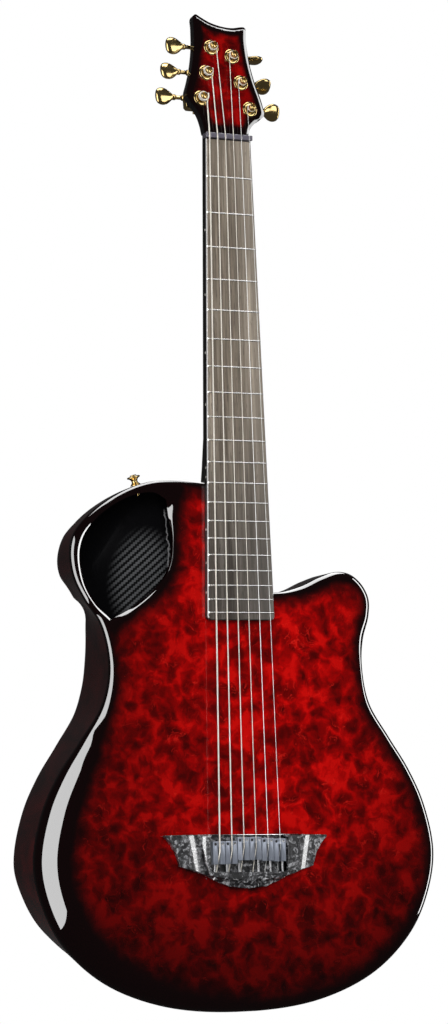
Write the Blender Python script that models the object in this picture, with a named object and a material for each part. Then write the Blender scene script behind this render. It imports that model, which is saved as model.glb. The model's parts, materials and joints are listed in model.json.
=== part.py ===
"""Carbon fibre travel guitar.

A hollow carbon body with a figured red top and a leaf shaped soundhole in its
upper bass bout, a one piece carbon neck and headstock, and a bridge with six
sliding saddles. +Z runs up the neck, +X to the treble side and +Y to the
back. The origin is on the centre line at the nut, in the plane of the top.
"""
from math import atan2, cos, hypot, pi, radians, sin, sqrt, tan

import bmesh
import bpy
from mathutils import Matrix, Vector

for thing in list(bpy.data.objects):
    bpy.data.objects.remove(thing, do_unlink=True)

# Clearances
gap = 0.0003
running_gap = 0.0004

# Scale, frets and strings, counted from the bass side
scale_length = 0.610
fret_count = 20
joint_fret = 12
string_diameters = (0.00135, 0.00107, 0.00081, 0.00061, 0.00041, 0.00030)
nut_string_spread = 0.0390
saddle_string_spread = 0.0579
string_height_at_nut = 0.0082
string_height_at_saddle = 0.0107

# Fretboard and frets
board_thickness = 0.0062
board_width_at_nut = 0.0435
board_width_at_end = 0.0642
board_past_last_fret = 0.0067
fret_width = 0.0020
fret_height = 0.0009

# Nut
nut_thickness = 0.0050
nut_height = 0.0092
nut_slot_side_gap = 0.0003
nut_overhang = 0.0006

# Neck
neck_depth_at_nut = 0.0130
neck_depth_at_heel = 0.0215
heel_length = 0.040
heel_play = 0.0022

# Headstock
headstock_tilt = radians(6.8)
headstock_face_height = 0.0051
headstock_thickness = 0.0125
headstock_rear_bevel = 0.0045
overlay_thickness = 0.0015

# Machine heads
tuner_pitch = 0.0243
tuner_row_lean = 0.0068
bass_row_start = (-0.0233, 0.0317)
treble_row_start = (0.0236, 0.0251)
post_radius = 0.0030
post_height = 0.0090
post_neck_depth = 0.0004
post_groove_length = 0.0020
post_groove_from_top = 0.0014
post_edge = 0.0008
gear_seat_radius = 0.0024
gear_radius = 0.0034
gear_tooth_depth = 0.0005
gear_thickness = 0.0036
gear_teeth = 16
worm_radius = 0.0013
worm_length = 0.0060
shaft_radius = 0.0013
collar_radius = 0.0026
collar_length = 0.0030
collar_slope = 0.0006
stem_radius = 0.0018
bushing_radius = 0.0047
bushing_length = 0.0080
bushing_flange_radius = 0.0070
bushing_flange_height = 0.0016
bushing_bevel = 0.0009
housing_depth = 0.0082
housing_wall = 0.0013
housing_outer_reach = 0.0085
housing_corner = 0.0020
ear_length = 0.0048
ear_width = 0.0050
ear_thickness = 0.0016
tuner_screw_radius = 0.0011
tuner_screw_length = 0.0070
button_reach = 0.0290
button_length = 0.0155
button_radius = 0.0080
button_flatness = 0.40
button_rest_turns = (0, 8, 0, 90, 48, 25)

# Body
body_length = 0.455
lower_bout_width = 0.376
wall = 0.0025
seam_below_edge = 0.0020
depth_at_joint = 0.084
depth_at_tail = 0.084
heel_depth = 0.022
heel_scoop_start = 0.025
heel_scoop_end = 0.220
shoulder_edge_radius = 0.038
back_edge_radius = 0.018
waist_drop = 0.159
side_lean = radians(2)
tail_lean = radians(16)
soundhole_bevel_depth = 0.0030

# Inside the body
neck_block_length = 0.062
neck_block_sides = (-0.020, 0.013)
neck_block_play = 0.004
end_block_width = 0.050
end_block_height = 0.032
end_block_thickness = 0.018
end_block_play = 0.002
brace_width = 0.006
brace_height = 0.009
brace_spread = 0.090
brace_end_clearance = 0.025
bridge_plate_thickness = 0.0025
bridge_plate_margin = 0.006

# Bridge and saddles
bridge_front_past_scale = -0.0013
bridge_half_width = 0.0775
bridge_length = 0.0463
bridge_slant = radians(1.3)
bridge_wing_height = 0.0055
bridge_height = 0.0098
pocket_side_gap = 0.0024
pocket_length = 0.0311
pocket_corner = 0.0022
pocket_floor = 0.0015
bridge_lip = 0.0012
lip_height = 0.0041
saddle_width = 0.0109
saddle_length = 0.0195
saddle_top = 0.0104
saddle_bottom = 0.0044
saddle_slot_width = 0.0024
saddle_nose = 0.0050
saddle_set_back = (0.0042, 0.0042, 0.0015, 0.0015, 0.0026, 0.0034)
saddle_travel_back = 0.0030
height_screw_radius = 0.0012
height_screw_offset = 0.0034
height_screw_from_front = 0.0024
intonation_screw_radius = 0.00125
intonation_screw_offset = 0.0033
intonation_screw_height = 0.0074
intonation_screw_sides = (-1, -1, -1, 1, 1, 1)
screw_head_radius = 0.0019
screw_head_thickness = 0.0016
bearing_wall = 0.0040
string_bore_height = 0.0032
string_bore_radius = 0.0011
ball_radius = 0.0019
ball_length = 0.0030
bore_past_bridge = 0.030

# Strap button and output jack
strap_button_x = -0.088
strap_button_depth = 0.0145
strap_button_height = 0.0085
strap_button_radius = 0.0058
strap_screw_radius = 0.0015
strap_head_radius = 0.0030
strap_head_thickness = 0.0012
strap_foot_radius = 0.0046
strap_waist_radius = 0.0026
strap_waist_start = 0.0028
strap_waist_end = 0.0045
strap_nut_corner = 0.0044
strap_nut_height = 0.0035
strap_nut_from_wall = 0.0007
strap_screw_past_nut = 0.0018
jack_depth = 0.042
jack_radius = 0.0060
jack_flange_radius = 0.0105
jack_flange_thickness = 0.0020
jack_socket_radius = 0.0033
jack_length = 0.034
jack_nut_corner = 0.0092
jack_nut_height = 0.0035

# Body outline, bass side then treble side: across, down from the neck joint, edge roll radius.
bass_upper = [
    (-0.0300, 0.0000, 0.0020), (-0.0440, -0.0012, 0.0030), (-0.0600, -0.0020, 0.0040),
    (-0.0809, -0.0002, 0.0050), (-0.1035, 0.0072, 0.0050), (-0.1260, 0.0200, 0.0050),
    (-0.1420, 0.0335, 0.0050), (-0.1515, 0.0460, 0.0050), (-0.1552, 0.0610, 0.0050),
    (-0.1525, 0.0820, 0.0050), (-0.1425, 0.1020, 0.0050), (-0.1285, 0.1225, 0.0055),
]
treble_tongue = (0.0270, 0.0000, 0.0020)
treble_upper = [
    (0.0295, 0.0950, 0.0020), (0.0460, 0.0935, 0.0035), (0.0620, 0.0890, 0.0050),
    (0.0805, 0.0810, 0.0050), (0.0994, 0.0755, 0.0050), (0.1130, 0.0775, 0.0050),
    (0.1240, 0.0860, 0.0050), (0.1308, 0.0990, 0.0050), (0.1303, 0.1150, 0.0052),
    (0.1245, 0.1350, 0.0060),
]
lower_half = [
    (0.1213, 0.1590, 0.0065), (0.1278, 0.1915, 0.0085), (0.1463, 0.2215, 0.0110),
    (0.1650, 0.2500, 0.0135), (0.1795, 0.2810, 0.0155), (0.1880, 0.3230, 0.0165),
    (0.1815, 0.3580, 0.0165), (0.1634, 0.3930, 0.0160), (0.1270, 0.4260, 0.0145),
    (0.0720, 0.4480, 0.0110), (0.0000, 0.4550, 0.0080),
]
drawn_width = 2 * max(point[0] for point in lower_half)
drawn_length = max(point[1] for point in lower_half)

# Soundhole, from its lower tip round its outer side, and back along its inner side:
# the ridge in the top's face, and the rim of the opening under the bevel.
ridge_outer = [
    (-0.1184, 0.1265), (-0.1345, 0.1085), (-0.1470, 0.0875), (-0.1510, 0.0610),
    (-0.1470, 0.0445), (-0.1336, 0.0272), (-0.1108, 0.0123), (-0.0910, 0.0048),
    (-0.0730, 0.0020), (-0.0525, 0.0040),
]
ridge_inner = [
    (-0.0525, 0.0040), (-0.0603, 0.0250), (-0.0602, 0.0490), (-0.0626, 0.0700),
    (-0.0725, 0.0900), (-0.0990, 0.1115), (-0.1184, 0.1265),
]
rim_outer = [
    (-0.1190, 0.1175), (-0.1325, 0.1040), (-0.1420, 0.0870), (-0.1455, 0.0620),
    (-0.1410, 0.0460), (-0.1285, 0.0315), (-0.1080, 0.0175), (-0.0900, 0.0108),
    (-0.0755, 0.0102), (-0.0668, 0.0160),
]
rim_inner = [
    (-0.0668, 0.0160), (-0.0635, 0.0310), (-0.0612, 0.0500), (-0.0635, 0.0700),
    (-0.0730, 0.0865), (-0.0985, 0.1075), (-0.1190, 0.1175),
]

# Headstock outline, from the nut's treble end anticlockwise: across, up the face.
headstock_outline = [
    (0.0215, 0.0003), (0.0232, 0.0070), (0.0290, 0.0135), (0.0368, 0.0193),
    (0.0382, 0.0230), (0.0368, 0.0330), (0.0310, 0.0530), (0.0272, 0.0730),
    (0.0262, 0.0900), (0.0266, 0.1020), (0.0250, 0.1034), (0.0130, 0.1015),
    (0.0030, 0.1020), (-0.0084, 0.1048), (-0.0170, 0.1090), (-0.0215, 0.1113),
    (-0.0240, 0.1095), (-0.0243, 0.1000), (-0.0256, 0.0810), (-0.0290, 0.0620),
    (-0.0330, 0.0480), (-0.0365, 0.0370), (-0.0360, 0.0335), (-0.0320, 0.0275),
    (-0.0262, 0.0195), (-0.0230, 0.0100), (-0.0215, 0.0003),
]

round_sides = 12
small_sides = 8


# Materials

def finish(name, colour, metallic, roughness):
    made = bpy.data.materials.new(name)
    made.use_nodes = True
    shader = made.node_tree.nodes["Principled BSDF"]
    shader.inputs["Base Color"].default_value = (*colour, 1)
    shader.inputs["Metallic"].default_value = metallic
    shader.inputs["Roughness"].default_value = roughness
    made.diffuse_color = (*colour, 1)
    return made


red_burl = finish("red_burl", (0.30, 0.006, 0.008), 0, 0.12)
gloss_carbon = finish("gloss_carbon", (0.010, 0.008, 0.008), 0, 0.10)
raw_carbon = finish("raw_carbon", (0.030, 0.030, 0.032), 0, 0.35)
forged_carbon = finish("forged_carbon", (0.060, 0.060, 0.065), 0, 0.25)
board_black = finish("board_black", (0.090, 0.080, 0.070), 0, 0.40)
nut_grey = finish("nut_grey", (0.070, 0.080, 0.110), 0, 0.35)
string_bronze = finish("string_bronze", (0.780, 0.640, 0.470), 1, 0.25)
gold = finish("gold", (0.830, 0.570, 0.220), 1, 0.15)
screw_steel = finish("screw_steel", (0.600, 0.600, 0.620), 1, 0.25)
saddle_grey = finish("saddle_grey", (0.260, 0.290, 0.350), 1, 0.35)


# Mesh helpers

def facing_out(mesh):
    bmesh.ops.recalc_face_normals(mesh, faces=mesh.faces)
    if mesh.calc_volume(signed=True) < 0:
        bmesh.ops.reverse_faces(mesh, faces=mesh.faces)
    return mesh


def loft(rings, start_cap=True, end_cap=True, closed=False):
    """One body through rings of equal length, capped at its ends or closed on itself."""
    mesh = bmesh.new()
    loops = [[mesh.verts.new(point) for point in ring] for ring in rings]
    pairs = list(zip(loops, loops[1:]))
    if closed:
        pairs.append((loops[-1], loops[0]))
    for low, high in pairs:
        for i in range(len(low)):
            j = (i + 1) % len(low)
            mesh.faces.new((low[i], low[j], high[j], high[i]))
    if start_cap and not closed:
        mesh.faces.new(list(reversed(loops[0])))
    if end_cap and not closed:
        mesh.faces.new(loops[-1])
    return facing_out(mesh)


def prism(outline, low, high):
    """An outline in X and Y between two heights."""
    return loft([[(x, y, level) for x, y in outline] for level in (low, high)])


def block(x_range, y_range, z_range):
    (x0, x1), (y0, y1) = sorted(x_range), sorted(y_range)
    return prism([(x0, y0), (x1, y0), (x1, y1), (x0, y1)], *sorted(z_range))


def ring(radius, level, sides):
    return [(radius * cos(2 * pi * (i + 0.5) / sides), radius * sin(2 * pi * (i + 0.5) / sides), level)
            for i in range(sides)]


def turned(profile, sides=round_sides):
    """A solid turned about Z from (radius, height) pairs."""
    return loft([ring(radius, level, sides) for radius, level in profile])


def bored(profile, sides=round_sides):
    """A turned ring with a bore, from a closed run of (radius, height) pairs."""
    return loft([ring(radius, level, sides) for radius, level in profile], closed=True)


def hexagon_nut(bore, corner, low, high):
    """A six sided nut with a round bore: every other point of its outer ring is on a flat."""
    outer, inner = [], []
    for i in range(12):
        reach = corner if i % 2 else corner * cos(pi / 6)
        turn = Vector((cos(pi * i / 6), sin(pi * i / 6)))
        outer.append(turn * reach)
        inner.append(turn * bore / cos(pi / 12))
    rings = [(inner, low), (outer, low), (outer, high), (inner, high)]
    return loft([[(x, y, level) for x, y in shape] for shape, level in rings], closed=True)


def rod(radius, low, high, sides=round_sides):
    return turned([(radius, low), (radius, high)], sides)


def moved(mesh, matrix):
    bmesh.ops.transform(mesh, matrix=matrix, verts=mesh.verts)
    if matrix.determinant() < 0:
        bmesh.ops.reverse_faces(mesh, faces=mesh.faces)
    return mesh


def together(meshes):
    """Several cutting shapes in one mesh."""
    whole = bmesh.new()
    for mesh in meshes:
        part = bpy.data.meshes.new("part")
        mesh.to_mesh(part)
        mesh.free()
        whole.from_mesh(part)
        bpy.data.meshes.remove(part)
    return whole


def shift(x=0.0, y=0.0, z=0.0):
    return Matrix.Translation((x, y, z))


along_x = Matrix.Rotation(pi / 2, 4, "Y")
along_y = Matrix.Rotation(-pi / 2, 4, "X")


def smooth_run(points, steps, ahead=None, behind=None):
    """A centripetal curve through the points, open at both ends."""
    first = Vector(points[0])
    last = Vector(points[-1])
    before = Vector(behind) if behind else first * 2 - Vector(points[1])
    after = Vector(ahead) if ahead else last * 2 - Vector(points[-2])
    run = [before] + [Vector(point) for point in points] + [after]
    made = []
    for a, b, c, d in zip(run, run[1:], run[2:], run[3:]):
        t1 = sqrt((b - a).xy.length)
        t2 = t1 + sqrt((c - b).xy.length)
        t3 = t2 + sqrt((d - c).xy.length)
        for step in range(steps):
            t = t1 + (t2 - t1) * step / steps
            ab = a.lerp(b, t / t1)
            bc = b.lerp(c, (t - t1) / (t2 - t1))
            cd = c.lerp(d, (t - t2) / (t3 - t2))
            abc = ab.lerp(bc, t / t2)
            bcd = bc.lerp(cd, (t - t1) / (t3 - t1))
            made.append(abc.lerp(bcd, (t - t1) / (t2 - t1)))
    made.append(last)
    return made


# Object helpers

def piece(name, mesh, material, parent, location=(0, 0, 0), rotation=(0, 0, 0)):
    data = bpy.data.meshes.new(name)
    mesh.to_mesh(data)
    mesh.free()
    data.materials.append(material)
    data.shade_smooth()
    data.set_sharp_from_angle(angle=radians(35))
    made = bpy.data.objects.new(name, data)
    bpy.context.collection.objects.link(made)
    made.parent = parent
    made.location = location
    made.rotation_euler = rotation
    return made


def frame(name, location, tilt):
    """An empty whose X is across, Y runs up the neck and Z points out of the face."""
    empty = bpy.data.objects.new(name, None)
    bpy.context.collection.objects.link(empty)
    empty.location = location
    empty.rotation_euler = (pi / 2 - tilt, 0, 0)
    return empty


def shape_with(target, mesh, operation, label):
    """Cuts a hidden tool from a piece, or joins it to the piece."""
    tool = piece(f"{target.name}_{label}", mesh, gloss_carbon, target.parent, target.location,
                 target.rotation_euler)
    tool.hide_render = True
    tool.display_type = "WIRE"
    modifier = target.modifiers.new(label, "BOOLEAN")
    modifier.operation = operation
    modifier.solver = "EXACT"
    modifier.object = tool


def cut(target, mesh, label):
    shape_with(target, mesh, "DIFFERENCE", label)


def join(target, mesh, label):
    shape_with(target, mesh, "UNION", label)


top_frame = frame("top_plane", (0, 0, 0), 0)
head_frame = frame("headstock_face", (0, -headstock_face_height, nut_thickness), headstock_tilt)


# Layout along the strings. Heights are measured out from the plane of the top.

def fret_distance(number):
    return scale_length * (1 - 2 ** (-number / 12))


def board_half_width(distance):
    share = distance / board_length
    return (board_width_at_nut + (board_width_at_end - board_width_at_nut) * share) / 2


def across_strings(index, spread):
    return spread * (index / (len(string_diameters) - 1) - 0.5)


board_length = fret_distance(fret_count) + board_past_last_fret
board_top = gap + board_thickness
joint_y = -fret_distance(joint_fret)
bridge_front = -(scale_length + bridge_front_past_scale)
pocket_half_width = (saddle_string_spread + saddle_width) / 2 + pocket_side_gap
pocket_front = bridge_front - bridge_lip
pocket_back = pocket_front - pocket_length


# Body outline: each side runs from the neck joint to the tail.

def on_body(point):
    """A drawn point of the body, stretched to the body's set width and length."""
    across = point[0] * lower_bout_width / drawn_width
    down = point[1] * body_length / drawn_length
    return (across, joint_y - down, *point[2:])


def mirrored(point):
    return (-point[0], *point[1:])


outline_steps = 2
past_tail = mirrored(lower_half[-2])
bass_points = bass_upper + [mirrored(point) for point in lower_half]
treble_points = treble_upper + lower_half
bass_side = smooth_run([on_body(p) for p in bass_points], outline_steps, ahead=on_body(lower_half[-2]))
treble_side = smooth_run([on_body(p) for p in treble_points], outline_steps, ahead=on_body(past_tail))
tongue_end, tongue_corner = Vector(on_body(treble_tongue)), treble_side[0]
tongue_steps = len(bass_side) - len(treble_side)
treble_side = [tongue_end.lerp(tongue_corner, i / tongue_steps) for i in range(tongue_steps)] + treble_side
outline = bass_side + list(reversed(treble_side[:-1]))
side_count = len(bass_side)


def edge_normals(points):
    """Outward normals in the plane of the top, mitred at each corner."""
    normals = []
    for i, point in enumerate(points):
        back = (point - points[i - 1]).xy.normalized()
        ahead = (points[(i + 1) % len(points)] - point).xy.normalized()
        one = Vector((back.y, -back.x))
        two = Vector((ahead.y, -ahead.x))
        middle = (one + two).normalized()
        normals.append(middle / max(middle.dot(one), 0.5))
    return normals


outward = edge_normals(outline)


def ease(share):
    """Runs from 0 to 1 with a soft start and end."""
    share = min(max(share, 0), 1)
    return share * share * (3 - 2 * share)


def full_depth(x, y):
    """Depth of the back below the top's face, drawn in round the heel."""
    share = (joint_y - y) / body_length
    full = depth_at_joint + (depth_at_tail - depth_at_joint) * share
    reach = (hypot(x, y - joint_y) - heel_scoop_start) / (heel_scoop_end - heel_scoop_start)
    return heel_depth + (full - heel_depth) * ease(reach)


def seam_depth(roll):
    return roll + seam_below_edge


def lean_at(normal):
    """Sides stand nearly square to the top and lean in towards the tail."""
    return side_lean + (tail_lean - side_lean) * ease(-normal.y)


def inset_ring(inset, depth):
    """A ring of the body, drawn in by inset and set down by depth at each point."""
    made = []
    for point, normal in zip(outline, outward):
        spot = point.xy - normal * inset(point, normal)
        made.append((spot.x, spot.y, -depth(point, normal)))
    return made


# Soundboard: a shallow dish with a rolled edge, open at the leaf shaped soundhole.

def roll_ring(turn):
    """Outer face of the rolled edge: turn 0 is in the flat face, 90 degrees on the side."""
    return inset_ring(lambda p, n: p.z * (1 - sin(turn)), lambda p, n: p.z * (1 - cos(turn)))


def inner_roll_ring(turn):
    def inside(roll):
        return max(roll - wall, gap)

    return inset_ring(lambda p, n: wall + inside(p.z) * (1 - sin(turn)),
                      lambda p, n: wall + inside(p.z) * (1 - cos(turn)))


board_rings = [roll_ring(radians(turn)) for turn in (0, 30, 60, 90)]
board_rings.append(inset_ring(lambda p, n: 0, lambda p, n: seam_depth(p.z)))
board_rings.append(inset_ring(lambda p, n: wall, lambda p, n: seam_depth(p.z)))
board_rings += [inner_roll_ring(radians(turn)) for turn in (90, 0)]
soundboard = piece("soundboard", loft(board_rings), red_burl, top_frame)


def leaf(outer, inner):
    one = smooth_run([on_body(p) + (0,) for p in outer], 2)
    two = smooth_run([on_body(p) + (0,) for p in inner], 2)
    return one[:-1] + two[:-1]


ridge = leaf(ridge_outer, ridge_inner)
rim = leaf(rim_outer, rim_inner)
over = 0.2
above_face = [tuple((a + (a - b) * over).xy) + (soundhole_bevel_depth * over,) for a, b in zip(ridge, rim)]
at_rim = [tuple(b.xy) + (-soundhole_bevel_depth,) for b in rim]
below_rim = [tuple(b.xy) + (-soundhole_bevel_depth * 5,) for b in rim]
cut(soundboard, loft([above_face, at_rim, below_rim]), "soundhole")


# Body shell: sides and back in one moulding.

def edge_radius(y, depth, seam):
    """The back's edge is rounder on the shoulders, and less so where the side is shallow."""
    blend = ease((joint_y - y) / waist_drop)
    full = shoulder_edge_radius + (back_edge_radius - shoulder_edge_radius) * blend
    return min(full, (depth - seam) * 0.6)


def wall_end(point, normal):
    """How far the side is drawn in, and how deep it is, where the back's edge radius starts."""
    roll = seam_depth(point.z)
    first = full_depth(point.x, point.y)
    radius = edge_radius(point.y, first, roll)
    lean = tan(lean_at(normal))
    inset = lean * (first - radius - roll)
    spot = point.xy - normal * (inset + radius)
    depth = full_depth(spot.x, spot.y)
    return inset, depth - radius, radius


def back_ring(turn, thickness):
    """The back's rounded edge: turn 0 is on the side, 90 degrees in the back's face."""
    def inset(point, normal):
        drawn_in, _, radius = wall_end(point, normal)
        return drawn_in + thickness + (radius - thickness) * (1 - cos(turn))

    def depth(point, normal):
        _, deep, radius = wall_end(point, normal)
        return deep + (radius - thickness) * sin(turn)

    return inset_ring(inset, depth)


def close_back(mesh, loop, thickness):
    """Covers the back with one face, divided round the heel so that it follows the scoop."""
    patch = [mesh.faces.new(loop)]
    lines = [(0, joint_y - share * heel_scoop_end, (0, 1, 0)) for share in (0.1, 0.22, 0.34, 0.46, 0.6, 0.8, 1)]
    lines += [(share * heel_scoop_end, 0, (1, 0, 0)) for share in (-0.45, -0.25, -0.1, 0, 0.1, 0.25, 0.45)]
    for x, y, across in lines:
        parts = patch + list({edge for face in patch for edge in face.edges})
        parts += list({vert for face in patch for vert in face.verts})
        made = bmesh.ops.bisect_plane(mesh, geom=parts, plane_co=(x, y, 0), plane_no=across)
        patch = [part for part in made["geom"] if isinstance(part, bmesh.types.BMFace)]
    inside = set(patch)
    for vert in {vert for face in patch for vert in face.verts}:
        if inside.issuperset(vert.link_faces):
            vert.co.z = thickness - full_depth(vert.co.x, vert.co.y)


shell_rings = [back_ring(radians(turn), 0) for turn in (90, 60, 30, 0)]
shell_rings.append(inset_ring(lambda p, n: 0, lambda p, n: seam_depth(p.z) + gap))
shell_rings.append(inset_ring(lambda p, n: wall, lambda p, n: seam_depth(p.z) + gap))
shell_rings += [back_ring(radians(turn), wall) for turn in (0, 45, 90)]
shell_mesh = loft(shell_rings, start_cap=False, end_cap=False)
shell_mesh.verts.ensure_lookup_table()
ring_size = len(outline)
outer_loop = shell_mesh.verts[:ring_size]
inner_loop = shell_mesh.verts[-ring_size:]
close_back(shell_mesh, outer_loop, 0)
close_back(shell_mesh, inner_loop, wall)
body_shell = piece("body_shell", facing_out(shell_mesh), gloss_carbon, top_frame)


# Blocks, braces and bridge plate inside the body

under_top = -wall - gap
block_steps = 5
block_top = joint_y - wall - gap
block_seat = seam_depth(outline[0].z)
front_radius = edge_radius(joint_y, heel_depth, block_seat)
block_profile = [(block_top, under_top), (block_top - neck_block_length, under_top)]
for step in range(block_steps + 1):
    y = block_top - neck_block_length + (neck_block_length - front_radius) * step / block_steps
    block_profile.append((y, wall + neck_block_play - full_depth(0, y)))
block_profile.append((block_top, front_radius + neck_block_play - heel_depth))
neck_block_rings = [[(x, y, z) for y, z in block_profile] for x in neck_block_sides]
piece("neck_block", loft(neck_block_rings), raw_carbon, top_frame)

tail_y = joint_y - body_length
tail_roll = lower_half[-1][2]
tail_tan = tan(tail_lean)


def tail_wall_y(depth):
    """Outer face of the tail on the centre line."""
    return tail_y + tail_tan * (depth - seam_depth(tail_roll))


def inside_tail(depth):
    return tail_wall_y(depth) + (wall + gap) / cos(tail_lean) + end_block_play


block_low = jack_depth - end_block_height / 2
block_high = jack_depth + end_block_height / 2
block_face = inside_tail(block_low) + end_block_thickness
end_profile = [(inside_tail(block_low), -block_low), (block_face, -block_low),
               (block_face, -block_high), (inside_tail(block_high), -block_high)]
end_rings = [[(x, y, z) for y, z in end_profile] for x in (-end_block_width / 2, end_block_width / 2)]
end_block = piece("end_block", loft(end_rings), raw_carbon, top_frame)

brace_middle = (-board_length + bridge_front) / 2
brace_length = -bridge_front - board_length - 2 * brace_end_clearance
brace_angle = atan2(brace_spread, brace_length)


def brace_bar(side):
    bar = block((-brace_width / 2, brace_width / 2), (-brace_length / 2, brace_length / 2),
                (under_top, under_top - brace_height))
    return moved(bar, shift(0, brace_middle) @ Matrix.Rotation(side * brace_angle, 4, "Z"))


cross_brace = piece("cross_brace", brace_bar(1), raw_carbon, top_frame)
join(cross_brace, brace_bar(-1), "second_bar")
plate_back = bridge_front - bridge_length - bridge_plate_margin
plate = block((-bridge_half_width, bridge_half_width), (bridge_front + bridge_plate_margin, plate_back),
              (under_top, under_top - bridge_plate_thickness))
piece("bridge_plate", plate, raw_carbon, top_frame)


# Neck: one moulding with the headstock, holed for the tuners

neck_arc_steps = 10


def neck_ring(y, half_width, depth, squareness):
    """A flat front and a rounded back. A squareness over 1 fills the corners."""
    points = []
    for i in range(neck_arc_steps + 1):
        turn = pi * i / neck_arc_steps
        x = half_width * (abs(cos(turn)) ** (1 / squareness)) * (1 if cos(turn) >= 0 else -1)
        z = -depth * sin(turn) ** (1 / squareness)
        points.append((x, y, min(z, -gap)))
    points.append((-half_width, y, 0))
    points.append((half_width, y, 0))
    return points


def neck_half_width(y):
    return board_half_width(-min(y, 0)) - gap


heel_end = joint_y + gap + heel_play
heel_start = joint_y + heel_length
plate_under_face = headstock_thickness - headstock_face_height
shaft_stations = [
    (heel_end, neck_depth_at_heel, 1.5),
    (heel_end + (heel_start - heel_end) * 0.3, neck_depth_at_heel * 0.90, 1.4),
    (heel_start, neck_depth_at_nut + 0.0025, 1.15),
    (heel_start * 0.5, neck_depth_at_nut + 0.0012, 1.1),
    (-0.012, neck_depth_at_nut, 1.1),
    (nut_thickness, neck_depth_at_nut - 0.0022, 1.15),
    (nut_thickness + 0.014, plate_under_face + 0.0002, 1.3),
]
neck_rings = [neck_ring(y, neck_half_width(y), depth, square) for y, depth, square in shaft_stations]
neck_rings.append([(x * 0.9, y + 0.012, min(z, -0.003) * 0.5) for x, y, z in neck_rings[-1]])
neck = piece("neck", loft(neck_rings), gloss_carbon, top_frame)

to_head = top_frame.matrix_basis.inverted() @ head_frame.matrix_basis
head_points = [Vector((x, y, 0)) for x, y in headstock_outline]
head_inward = [-normal * headstock_rear_bevel for normal in edge_normals(head_points)]
head_levels = ((0, -overlay_thickness - gap), (0, headstock_rear_bevel - headstock_thickness),
               (1, -headstock_thickness))
head_plate = loft([[(p.x + n.x * share, p.y + n.y * share, level) for p, n in zip(head_points, head_inward)]
                   for share, level in head_levels])
join(neck, moved(head_plate, to_head), "headstock")
ledge_half, ledge_height = board_width_at_nut, 2 * nut_height
ledge = block((-ledge_half, ledge_half), (-gap, nut_thickness + gap), (0, ledge_height))
cut(neck, ledge, "nut_ledge")

overlay = piece("headstock_overlay", prism(headstock_outline, -overlay_thickness, 0), red_burl, head_frame)
overlay_bevel = overlay.modifiers.new("edge", "BEVEL")
overlay_bevel.width = 0.0008
overlay_bevel.segments = 1
overlay_bevel.angle_limit = radians(60)


# Fretboard, with its frets standing across it

fret_arc = (0, 30, 60, 90, 120, 150, 180)
board_profile = [(0, gap), (0, board_top)]
for number in range(1, fret_count + 1):
    y = -fret_distance(number)
    for turn in fret_arc:
        board_profile.append((y + fret_width / 2 * cos(radians(turn)), board_top + fret_height * sin(radians(turn))))
board_profile += [(-board_length, board_top), (-board_length, gap)]
board_sides = [[(side * board_half_width(-y), y, z) for y, z in board_profile] for side in (-1, 1)]
piece("fretboard", loft(board_sides), board_black, top_frame)


# Nut, slotted for the strings

nut_half = board_half_width(0) + nut_overhang
nut_outline = [(-nut_half, gap), (nut_half, gap)]
nut_top_line = []
for index, diameter in enumerate(string_diameters):
    x = across_strings(index, nut_string_spread)
    half = diameter / 2 + nut_slot_side_gap
    floor = string_height_at_nut - gap
    nut_top_line += [(x - half, nut_height), (x - half, floor), (x + half, floor), (x + half, nut_height)]
nut_outline += [(nut_half, nut_height)] + list(reversed(nut_top_line)) + [(-nut_half, nut_height)]
nut_rings = [[(x, y, z) for x, z in nut_outline] for y in (gap, nut_thickness - gap)]
piece("nut", loft(nut_rings), nut_grey, top_frame)


# Machine heads: bass row then treble row, so that each string has its own

def tuner_place(index):
    """Post centre on the headstock's face, and the side that the button is on."""
    if index < 3:
        start, side, step = bass_row_start, -1, index
    else:
        start, side, step = treble_row_start, 1, 5 - index
    return start[0] - side * tuner_row_lean * step, start[1] + tuner_pitch * step, side


tuners = [tuner_place(index) for index in range(len(string_diameters))]
worm_offset = gear_radius + worm_radius + gap
housing_top = -headstock_thickness - gap
gear_top = housing_top - 2 * gap
gear_middle = gear_top - gear_thickness / 2
cavity_floor = housing_top - housing_depth + housing_wall
cavity_low = -gear_radius - running_gap
cavity_high = worm_offset + worm_radius + running_gap
housing_low = cavity_low - housing_wall
housing_high = cavity_high + housing_wall
ear_middle = housing_low - ear_length / 2
screw_hole_radius = tuner_screw_radius + gap
past = 0.002


def on_side(mesh, side):
    """Mirrors a bass side shape, whose button points to -X, for the treble side."""
    return moved(mesh, Matrix.Diagonal((side, 1, 1, 1)))


def chamfered(x_range, y_range, corner):
    (x0, x1), (y0, y1) = x_range, y_range
    return [(x0 + corner, y0), (x1 - corner, y0), (x1, y0 + corner), (x1, y1 - corner),
            (x1 - corner, y1), (x0 + corner, y1), (x0, y1 - corner), (x0, y0 + corner)]


def housing_block():
    crown = housing_corner / 2
    around = chamfered((housing_low, housing_outer_reach), (housing_low, housing_high), housing_corner)
    tucked = chamfered((housing_low + crown, housing_outer_reach - crown),
                       (housing_low + crown, housing_high - crown), housing_corner)
    levels = [(around, housing_top), (around, housing_top - housing_depth + crown),
              (tucked, housing_top - housing_depth)]
    return loft([[(x, y, level) for x, y in shape] for shape, level in levels])


def tuner_screw_hole(high):
    return moved(rod(screw_hole_radius, housing_top - past, high, small_sides), shift(0, ear_middle))


def gear_disc():
    teeth = []
    for i in range(2 * gear_teeth):
        radius = gear_radius - (gear_tooth_depth if i % 2 else 0)
        teeth.append((radius * cos(pi * i / gear_teeth), radius * sin(pi * i / gear_teeth)))
    return prism(teeth, gear_middle - gear_thickness / 2, gear_middle + gear_thickness / 2)


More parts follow.
